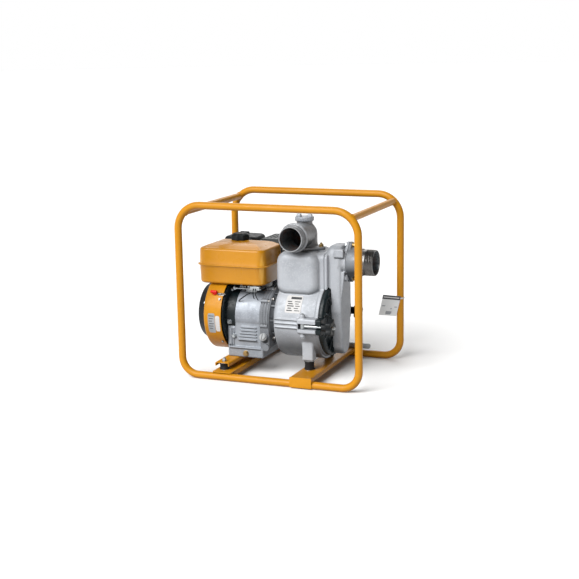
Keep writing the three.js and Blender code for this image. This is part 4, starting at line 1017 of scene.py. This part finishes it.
# ---------------------------------------------------------------- fuel, air and exhaust
def build_tank():
    x, y, corner = (-303, -53), (-130, 50), 30
    low, seam, high = 313, 379, 452
    draft = 2.4  # how far the lower shell draws in towards its bottom
    rows = [(z, inset + draft * (seam - z) / (seam - low)) for z, inset in levels(low, seam - 1.4, 9, 0, 6)]
    lower = stacked("z", plan(x, y, corner), rows)
    rows = [(seam + 1.4, 0), (seam + 28, 0.5), (high - 24, 1.6)]
    rows += quarter_round(high - 24, 1.6, 9, 9, 8, 7)
    # The top face is crowned, so its front edge lies below the filler.
    crown = ((12.5, 16), (8.5, 26), (4.6, 38), (2, 50), (0.6, 62), (0, 76))
    rows += [(high - below, inset) for below, inset in crown]
    upper = stacked("z", plan(x, y, corner), rows)
    rim = stacked("z", lambda inset: rounded(grow(x, 7 - inset), grow(y, 7 - inset), 38 - inset),
                  [(seam - 1.9, 1.2), (seam - 1.3, 0.2), (seam, 0), (seam + 1.3, 0.2), (seam + 1.9, 1.2)])
    joint = stacked("z", lambda inset: rounded(grow(x, 1 - inset), grow(y, 1 - inset), 33 - inset),
                    [(seam - 5, 1.5), (seam - 2, 0), (seam + 2, 0), (seam + 5, 1.5)])
    cap_x, cap_y, _ = pivot("fuel_cap_turn")
    rows = ((-12, 20), (-12, 30), (-1, 29), (1, 26), (2, 24.2), (7.5, 24.2), (8, 23), (8, 20))
    neck = turned("z", [(high + above, r) for above, r in rows], (cap_x, cap_y), 64, True)
    tank = fuse(lower, upper, joint, rim)
    tank = fuse(cut(tank, rod("z", 20, (high - 24, high + 6), (cap_x, cap_y))), neck)
    shape("fuel_tank", tank, 40, TANK_ENAMEL)
    studs = [((px, py, high - 139.5), DOWN) for px in (-150, -100) for py in (-96, 34)]
    hexagons("tank_nuts", "zinc_steel", studs, 10, 4)

    foot, tip = span("fuel_cap")[2]
    rows = [(foot + above, r) for above, r in ((9.5, 0.01), (9.5, 25.6), (0, 25.6), (0, 29.6), (0.8, 30.6),
                                               (15.5, 30.6), (18, 29.4), (20.5, 27))]
    rows += [(tip - below, r) for below, r in ((1.4, 24), (0.4, 21), (0, 15), (0.4, 6), (0.4, 0.01))]
    lobes = lobed(8, 0.085, 1.5, 27, tip - 1.5)
    shape("fuel_cap", turned("z", rows, (cap_x, cap_y), 128, shape=lobes), 30)

    shape("tank_stand", soften(copied("tank_stand"), 1.0))


def build_intake():
    for node in ("choke_lever", "fuel_cock_lever"):
        shape(node, soften(copied(node), 0.6))
    y, z = on_slant(172, 18)
    face = CYLINDER_X - 54.3  # where the carburettor meets the cylinder
    body = cast(
        prism("x", rounded(about(y, 22), about(z, 18), 8), (face - 8, face)),
        stacked("x", plan(about(y, 16), (z - 16, z + 26), 6), levels(face - 36, face - 5, 2, 2, 3)),
        turned("z", [(z - 32, 8), (z - 31, 12), (z - 27, 14), (z - 18, 14), (z - 17, 11), (z - 12, 11)],
               (face - 21, y)),
        rod("z", 14.5, (z + 22, 351.7), (face - 21, y)),
        rod("z", 4, (z - 36, z - 28), (face - 21, y)),
        rod("y", 5, (y - 21, y + 20), (face - 21, z + 2)),
        voxel=1.2, passes=3, share=0.4)
    shape("carburettor", body)
    _, y, z = span("fuel_hose")
    radius = 3.6
    path = bent_path([(-194, 34, z[1]), (-194, 34, z[0] + radius), (-194, y[1], z[0] + radius)], (8,), 8)
    shape("fuel_hose", sweep(path, radius, 16))

    x, y = (-300, -170), (66, 186)
    outside, inside = plan(x, y, 26), plan(grow(x, -3), grow(y, -3), 23)
    base = stacked("z", outside, levels(352, 394, 9, 0, 5) + [(394.2, -1.2), (397.4, -1.2), (398, -0.6)])
    base = cut(base, stacked("z", inside, [(356, 0), (399, 0)]))
    shape("air_cleaner_base", base, 30)
    rows = [(398.3, -0.6), (399, -1.2), (402, -1.2), (402.6, 0), (432, 1.5)]
    rows += quarter_round(432, 1.5, 15, 16, 6, 6) + [(448.5, 24), (449.8, 34)]
    lid = stacked("z", outside, rows)
    centre = (middle(x), middle(y))
    dish = turned("z", [(446, 13), (451, 15), (451, 20)], centre)
    lid = cut(lid, dish, stacked("z", inside, [(396, 0), (430, 1), (444, 14)]))
    shape("air_cleaner_cover", lid, 30)
    hub = turned("z", [(445, 6), (445, 9), (447, 9), (453, 6), (454, 4)], centre, 32)
    u, v = centre
    wing = stacked("x", lambda inset: rounded(about(v, 2 - inset), (448, 459), 1.6),
                   [(u - 17, 0.5), (u - 15, 0), (u + 15, 0), (u + 17, 0.5)])
    extra("air_cleaner_nut", gather(hub, wing), "black_plastic")


def build_exhaust():
    can = stacked("x", plan((88, 172), (358, 425), 31), levels(-132, -30, 7, 7, 5))
    band = stacked("x", plan((87, 173), (357, 426), 32), levels(-84, -78, 1, 1, 2))
    tail = turned("y", [(165, 8), (165, 10), (184, 10), (186, 9.2), (186, 8)], (-52, 392), 40)
    pipe = rod("z", 13, (300, 372), (-112, 106))
    keep = slanted(box((100, 260), (-70, 70), (0, 54.3)))
    shape("muffler", gather(can, band, tail, cut(pipe, keep)))
    shape("muffler_guard", soften(copied("muffler_guard"), 0.5, 2))
    screws = [((x, 70, z), FRONT) for x in (-146, -18) for z in (356, 434)]
    hexagons("guard_screws", "zinc_steel", screws, 8, 3.5)


def build_controls():
    for node in ("control_plate", "throttle_lever"):
        shape(node, soften(copied(node), 0.4))
    handle = stacked("x", lambda inset: rounded(about(0, 4.6 - inset), (4, 16.6 - inset), 3),
                     levels(-12, 12, 2, 2, 3))
    knob = fuse(turned("z", [(0.3, 7.6), (1, 8), (6, 8), (7, 7.2)], sides=40), handle)
    axis = next(joint for joint in frame["joints"] if joint["name"] == "stop_switch_turn")["axis"]
    angle = math.degrees(math.atan2(axis[2], axis[1]))
    turn = Matrix.Rotation(math.radians(angle - 90), 4, "X")
    spot = on_crank(-232, BLOWER_R, angle)
    shape("stop_switch", moved(knob, Matrix.Translation(Vector(spot) * MM) @ turn))

    wires = []
    for px, depth, lean in ((-96, 30, 5), (-88, 34, 12)):
        path = [Vector((px, -119, 303)), Vector((px, -121.5, 300))]
        for k in range(1, 9):
            share = k / 8
            y = -122 - 5 * math.sin(share * 2.4)
            path.append(Vector((px + lean * share ** 2, y, 298 - depth * share)))
        wires.append(sweep(path, 1.5, 10))
    link = ((-108, -122, 287), (-120, -122, 281), (-147, -118, 262), (-156, -112, 254))
    wires.append(sweep([Vector(point) for point in link], 2.0, 12))
    extra("control_wires", gather(*wires), "black_plastic")
    coil = []
    for k in range(97):
        turn = k * math.pi / 6
        coil.append(Vector((-150 + 22 * k / 96, -110 + 2.6 * math.cos(turn), 305 + 2.6 * math.sin(turn))))
    extra("governor_spring", sweep(coil, 0.6, 6), "zinc_steel")
    bolts = [((x, -100, 301.5), UP) for x in (-122, -82)] + [((-186, -96, 289), (0, -0.5, 0.86))]
    hexagons("control_bolts", "zinc_steel", bolts, 8, 4)


# ---------------------------------------------------------------- pump
def duct_outline(inset):
    """Suction duct section in Y and Z: straight sides that draw in to a round toe."""
    toe, shoulder = 38 - inset, 34 - inset
    front, back = grow(DUCT_Y, -inset)
    top = DUCT_TOP - inset
    return (
        [(back, 235)] + arc((back - shoulder, top - shoulder), shoulder, 0, 90)
        + arc((front + shoulder, top - shoulder), shoulder, 90, 180) + [(front, 235)]
        + arc((CRANK_Y, 118), toe, 180, 360, 16)
    )


def lug(side, x):
    """An ear for a clamp bolt, on the casing or on its cover."""
    y = sorted((CRANK_Y + side * 90, CRANK_Y + side * 152))
    return prism("x", rounded(y, about(CRANK_Z, 27), 7), x)


def clamp_slots(x, half):
    """The slots that the clamp bolts swing into."""
    ways = (sorted((CRANK_Y + side * 130, CRANK_Y + side * 170)) for side in (-1, 1))
    return [box(x, y, about(CRANK_Z, half)) for y in ways]


def build_casing():
    left, right = CASING
    rows = [(left, 0.01), (left, 108), (left + 2, 115), (left + 6, 120), (left + 12, 123),
            (left + 20, DRUM_R), (right - 8, DRUM_R), (right - 8, 0.01)]
    solids = [
        turned("x", rows, CRANK, 128, squash=DRUM_DROP),
        rod("x", 128, (right - 12, right), CRANK, sides=128),
        stacked("y", plan(CHAMBER_X, CHAMBER_Z, 38), levels(*CHAMBER_Y, 27, 17, 9)),
        stacked("x", plan(RIM_Y, RIM_Z, RIM_CORNER), levels(125, right, 3, 0, 4)),
        turned("z", [(417, 58), (430, 53), (437, 51)], (OUTLET_X, CRANK_Y)),
        rod("x", 70, (left - 0.1, left + 6), CRANK),
    ]
    for side in (-1, 1):
        solids.append(rod("z", 14, (412, 437), (OUTLET_X + 60 * side, CRANK_Y)))
        solids.append(lug(side, (92, right)))
        solids.append(rod("z", 9.4, (160, 240), (CLAMP_X, CRANK_Y + side * CLAMP_OUT), sides=32))
        y = sorted((CRANK_Y + side * 60, CRANK_Y + side * 127))
        for dz in (-14, 0, 14):
            solids.append(box((left + 6, 80), y, about(CRANK_Z + dz, 1.8)))
        far = CRANK_Y + side * 128
        near = CRANK_Y + side * 110
        wedge = [(78, near), (93, near), (93, far + side * 14), (88, far + side * 7), (82, far - side * 2)]
        solids.append(prism("z", wedge, about(CRANK_Z, 21)))
    for y in (-134, 54):
        solids.append(prism("z", rounded((92, 131), about(y, 17), 4), (72.2, 160)))
    body = cast(*solids, voxel=2.0, passes=7, share=0.35)
    tools = [
        rod("x", 113, (left + 14, right + 2), CRANK, sides=96),
        stacked("y", plan(grow(CHAMBER_X, -CHAMBER_WALL), grow(CHAMBER_Z, -CHAMBER_WALL), 24),
                levels(*grow(CHAMBER_Y, -CHAMBER_WALL), 22, 8, 4)),
        box((left + 20, 128), (-96, 28), (240, 340)),  # joins the drum's hollow with the chamber's
        stacked("x", plan(grow(RIM_Y, -CHAMBER_WALL), (300, 421), 12), [(120, 0), (right + 2, 0)]),
        rod("z", BORE, (407, 440), (OUTLET_X, CRANK_Y)),
        rod("x", 22.3, (left - 2, left + 16), CRANK),
        rod("z", 7, (55, 100), (60, CRANK_Y), sides=24),
    ] + clamp_slots((94, right + 2), 10)
    for side in (-1, 1):
        tools.append(rod("z", 5.5, (155, 245), (CLAMP_X, CRANK_Y + side * CLAMP_OUT), sides=24))
    shape("pump_casing", cut(body, *tools), 40, RAISED)
    head = aimed(hexagon(20, 7, 2), (60, CRANK_Y, 60.7), DOWN)
    stem = turned("z", [(60, 6.4), (80, 6.4), (83.5, 5)], (60, CRANK_Y), 24)
    shape("casing_drain_plug", gather(head, stem))
    label("casing_label", WHITE_LABEL, patch(DRUM_R + 0.4, (34, 92), 134, 163, 0.5, 12))

    def line(x, turn, width):
        return patch(DRUM_R + 1, x, turn, turn + width, 0.15, 3, 0)

    rows = [line((50, 88), 136.5, 4)]
    for k in range(5):
        turn = 144 + 3.6 * k
        rows.append(line((40 + 3 * (k % 2), 56 + 4 * (k % 3)), turn, 1.6))
        rows.append(line((66 + 2 * (k % 3), 86 - 5 * (k % 2)), turn, 1.2))
    label("casing_label_print", INK, *rows)

    rows = [(-37.7, 50), (-37.7, 99), (-36.5, 100), (-31, 100), (-29, 96), (-18, 90), (-13, 89),
            (-10.4, 88), (-10.4, 50)]
    web = ((-34, -12), about(CRANK_Y, 3), (CRANK_Z + 84, CRANK_Z + 97.5))
    webs = [spun(box(*web), 30 * k) for k in range(12)]
    # the adaptor's darker finish is painted shade in the gap
    shape("pump_adaptor", fuse(turned("x", rows, CRANK, 96, True), *webs), material=SHADED)
    bolts = [(on_crank(-31, 95, 15 + 30 * k), RIGHT) for k in (2, 4, 7, 11)]
    hexagons("adaptor_bolts", "dark_steel", bolts, 11, 6)


def build_cover():
    x0, x1 = COVER_X
    rows = [(x0, 0.01), (x0, 126.5), (x1 - 8, 126.5), (x1 - 3, 124), (x1, 117), (x1 - 1, 112),
            (x1 - 5, 108), (x1 - 5, 84), (x1, 80), (x1, 0.01)]
    solids = [turned("x", rows, CRANK, 128)] + [lug(side, (x0, x1)) for side in (-1, 1)]
    for angle in (20, 50, 80, 100, 130, 160, 200, 230, 310, 340, 250, 290):
        rib = box((x1 - 7, x1 + 4), about(CRANK_Y, 3.5), (CRANK_Z + 60, CRANK_Z + 119))
        solids.append(spun(rib, angle - 90))
    cover = cast(*solids, voxel=1.8, passes=4, share=0.35)
    seat = stacked("x", lambda inset: duct_outline(inset - 0.3), [(x1, 0), (x1 + 20, 0)])
    above_seam = box(grow((x0, x1), 10), (-200, 200), (SEAM_Z, 400))
    hole = rod("x", 45, grow((x0, x1), 3), CRANK)
    cover = cut(cover, above_seam, seat, hole, *clamp_slots(grow((x0, x1), 6), 7))
    shape("casing_cover", cover, 40, GREEN_BLACK)


def in_front_of_toe(x):
    """The space in front of the duct's slanted lower face; x places the slope."""
    slope = Matrix.Translation(Vector((x, 0, -63)) * MM) @ Matrix.Rotation(math.radians(DUCT_SLOPE), 4, "Y")
    return moved(box((0, 60), (-200, 100), (0, 300)), slope)


def build_suction():
    x0, x1 = DUCT_X
    body = stacked("x", duct_outline, levels(COVER_X[0], x1, 22, 9, 7))
    body = cut(body, box((100, x0), (-200, 100), (0, SEAM_Z + 0.3)))
    plate = stacked("x", plan(RIM_Y, (280, RIM_Z[1]), RIM_CORNER),
                    levels(COVER_X[0], COVER_X[0] + 11, 0, 3, 3))
    plate = cut(plate, rod("x", 128, (100, 200), CRANK, sides=96))
    solids = [
        cut(body, in_front_of_toe(x1)), plate,
        turned("x", [(x1 - 10, 56), (x1 - 2, 51), (x1 + 4, 48), (227.7, 47)], PORT),
        prism("x", eared(PORT, 50, 56, 13, 1), (218, 227.7)),
        prism("y", [(x1 - 6, 284), (x1 + 1, 284), (222, 352), (222, 372), (x1 - 6, 372)], (-88, -80)),
        prism("x", rounded((-98, -80), (420, 450), 4), (190, 222)),
        rod("x", 11, (200, 227), (-68, 348), sides=32),
    ]
    duct = cast(*solids, voxel=1.8, passes=6, share=0.35)
    wall = 8
    rows = [(x0 - 26, 20), (x0 - 8, 6), (x0, 0), (x1 - 9, 0)]
    hollow = cut(stacked("x", lambda inset: duct_outline(inset + wall), rows), in_front_of_toe(x1 - wall))
    window = box((140, x0 - 4), grow(DUCT_Y, -wall), (320, 425))
    duct = cut(duct, hollow, window, rod("x", BORE, (x1 - 20, 232), PORT))
    shape("suction_duct", duct, 40, RAISED)

    hub = cast(
        prism("x", eared(PORT, 50, 56, 13, 1), (228, 238)),
        turned("x", [(229, 20), (229, 53), (236, 52), (255, 50.5), (260, 50.5), (262, 48), (262, 20)],
               PORT),
        voxel=1.5, passes=4, share=0.4)
    hub = cut(hub, rod("x", BORE, (226, 248), PORT), rod("x", 44.6, (240, 266), PORT, sides=64))
    # the flange's darker finish is painted shade on a face turned away from the key light
    shape("suction_flange", hub, 40, SHADE_DIMMED)
    ears = [(238, CRANK_Y, PORT[1] + 56 * s) for s in (-1, 1)]
    hexagons("suction_nuts", "brass", [(p, RIGHT) for p in ears], 15, 7, 5)
    hexagons("suction_bolt_heads", "zinc_steel", [((218, p[1], p[2]), LEFT) for p in ears], 15, 5)
    rows = [(240.4, 39.6), (240.4, 44), (262.4, 44), (263, 46.4), (274, 46.4), (275, 44.2)]
    rows += [(x, 44.2) for x in stations(284, 317, 0.4)] + [(319, 42.6), (319, 40.6), (316, 39.6)]
    nipple = turned("x", rows, PORT, 112, True, thread(PIPE_PITCH, 0.9, 43.9, (290, 318)))
    # the nipple's darker bore walls are painted shade
    lined(shape("suction_nipple", nipple, 28), "x", PORT, 40)


def build_discharge():
    x, y, z = OUTLET_X, CRANK_Y, OUTLET_Z
    outside = 43.5
    solids = [
        prism("z", eared((x, y), 52, 60, 14, 0), (437.3, 447)),
        turned("z", [(437.3, 48), (447, 48), (452, 44.5), (458, outside), (z, outside)], (x, y), 72),
        turned("z", dome(z, outside, 6), (x, y), 72),
        rod("y", 42.2, (-160, y), (x, z), sides=72),
        turned("y", [(-139.5, 44), (-138, 50), (-131.5, 50), (-130, 44)], (x, z), 72),
        turned("z", [(z + 20, 30), (520, 27.5), (533, 27)], (x, y), 64),
        box(about(x, 2), (-124, -58), (z + 30, z + outside)),
    ]
    elbow = cast(*solids, voxel=1.6, passes=5, share=0.35)
    rows = [(-134, BORE), (-134, 41.5), (-140, 41.5), (-143, 41.5), (-144.5, 43), (-149, 43), (-150, 40.6),
            (-152.5, 40.6), (-153.5, 43)]
    rows += [(v, 43) for v in stations(-154, -168, 0.4)]
    rows += [(-169.6, 42), (-171, 41), (-171, 39.2), (-169, BORE)]
    mouth = turned("y", rows, (x, z), 112, True, thread(PIPE_PITCH, 1.3, 42.9, (-168, -153.8)))
    elbow = cut(elbow, rod("z", BORE, (430, z), (x, y), sides=64),
                turned("z", dome(z, BORE, 10), (x, y), 64),
                rod("y", BORE, (-180, y), (x, z), sides=64),
                rod("z", 21, (z + 20, 540), (x, y)))
    # the elbow's finish carries painted shade and painted highlights
    elbow = shape("discharge_elbow", gather(elbow, mouth), 30, SHADED_HIGHLIT_ELBOW)
    # the elbow's darker bore walls are painted shade
    lined(lined(elbow, "y", (x, z), 39.5), "z", (x, y), 39.5)
    hexagons("elbow_bolts", "brass", [((x + 60 * s, y, 447), UP) for s in (-1, 1)], 14, 7, 5)

    rows = [(522, 0.01), (522, 19.7), (533.3, 19.7), (533.3, 31), (534.5, 32.3), (545, 32.3), (546.6, 31),
            (547, 29), (546, 24), (546, 0.01)]
    lid = turned("z", rows, (x, y), 144, shape=knurled(24, 0.02, 31.5))
    rows = [(544, 0), (553, 0.6), (555.3, 1.6), (556, 3)]
    wings = [stacked("z", plan(about(mid, 9), about(y, 6), 4), rows) for mid in (x - 20, x + 20)]
    shape("priming_cap", fuse(lid, *wings), 30)


def build_clamps():
    shank = [(CLAMP_X, 6), (180, 6)] + [(x, 6) for x in stations(181, 220.5, 0.45)] + [(222, 4.6)]
    grip = [(176.3, 7.1), (176.3, 12.4), (177, 13), (194, 13), (196, 14), (197.2, 21), (198.4, 23),
            (212, 23), (214, 22.4), (215, 20.5), (214.6, 14), (213, 9.5), (213, 7.1)]
    for end, side in (("front", -1), ("rear", 1)):
        y = CRANK_Y + side * CLAMP_OUT
        shape("clamp_bolt_" + end, gather(
            turned("z", [(157, 4), (158, 5), (242, 5), (243, 4)], (CLAMP_X, y), 24),
            turned("z", [(191, 6.5), (192.5, 9), (207.5, 9), (209, 6.5)], (CLAMP_X, y), 32),
            turned("x", shank, (y, CRANK_Z), 32, shape=thread(1.75, 0.8, 5.9, (181, 221))),
        ))
        shape("hand_knob_" + end, turned("x", grip, (y, CRANK_Z), 100, True, lobed(5, 0.34, 1.2, 20)), 30)


# ---------------------------------------------------------------- studio
def build_studio():
    floor = lofted([[(x, y, z) for x, y in circle(60000, 96)] for z in (-20, -0.4)])
    floor.name = "floor"
    paper = Finish("floor_paper", (0.84, 0.84, 0.84), 0.95).mottle(900, (0.825, 0.825, 0.825), 0.4, 0.7)
    floor.data.materials.append(paper.bump(3, 0.02).material)

    def aim(name, kind, place, power, colour=(1, 1, 1)):
        light = bpy.data.lights.new(name, kind)
        light.energy, light.color = power, colour
        obj = bpy.data.objects.new(name, light)
        bpy.context.scene.collection.objects.link(obj)
        obj.location = place
        obj.rotation_euler = (Vector((0, 0, 0.25)) - obj.location).to_track_quat("-Z", "Y").to_euler()
        return light

    aim("key", "SUN", (-0.9, -2.8, 2.75), 4.9, (1.0, 0.997, 0.99)).angle = math.radians(46)
    aim("rim", "SUN", (-0.6, 2.4, 2.2), 0.9).angle = math.radians(40)
    world = bpy.data.worlds.new("studio")
    bpy.context.scene.world = world
    world.use_nodes = True
    nodes, link = world.node_tree.nodes, world.node_tree.links.new
    coords = nodes.new("ShaderNodeTexCoord")
    split = nodes.new("ShaderNodeSeparateXYZ")
    link(coords.outputs["Generated"], split.inputs[0])

    def fade(axis, start, end, least):
        """Brightness that falls from 1 to least along an axis of the sky."""
        ramp = nodes.new("ShaderNodeMapRange")
        ramp.interpolation_type = "SMOOTHSTEP"
        for socket, value in (("From Min", start), ("From Max", end), ("To Min", 1.0), ("To Max", least)):
            ramp.inputs[socket].default_value = value
        link(split.outputs[axis], ramp.inputs["Value"])
        return ramp.outputs["Result"]

    product = nodes.new("ShaderNodeMath")
    product.operation = "MULTIPLY"
    link(fade("Z", 0.06, 0.5, 0.3), product.inputs[0])
    link(fade("X", 0.05, 0.7, 0.1), product.inputs[1])
    link(product.outputs[0], nodes["Background"].inputs["Strength"])
    nodes["Background"].inputs["Color"].default_value = (1, 1, 1, 1)


def build_camera():
    azimuth, elevation, roll = (math.radians(v) for v in (22.339, 11.523, -0.946))
    along = math.cos(elevation)
    back = Vector((math.sin(azimuth) * along, -math.cos(azimuth) * along, math.sin(elevation)))
    level = Vector((0, 0, 1)).cross(back).normalized()
    upright = back.cross(level)
    right = level * math.cos(roll) + upright * math.sin(roll)
    up = upright * math.cos(roll) - level * math.sin(roll)
    camera = bpy.data.cameras.new("camera")
    camera.lens, camera.sensor_width = 74.22, 36
    camera.shift_x, camera.shift_y = -0.0055, -0.00164
    obj = bpy.data.objects.new("camera", camera)
    bpy.context.scene.collection.objects.link(obj)
    pose = Matrix((right, up, back)).transposed().to_4x4()
    pose.translation = Vector((0, 0, 0.285671)) + back * 4.1595  # aim point and distance, in metres
    obj.matrix_world = pose
    bpy.context.scene.camera = obj
    bpy.context.scene.view_settings.view_transform = "Standard"


for build in (
    build_camera, build_frame, build_rails, build_mounts, build_tag, build_block, build_head,
    build_blower, build_starter, build_tank, build_intake, build_exhaust, build_controls,
    build_casing, build_cover, build_suction, build_discharge, build_clamps, build_studio,
):
    build()

for node, obj in frame["nodes"].items():
    for slot in obj.material_slots:
        slot.material = LOOK[SLOT[node]]
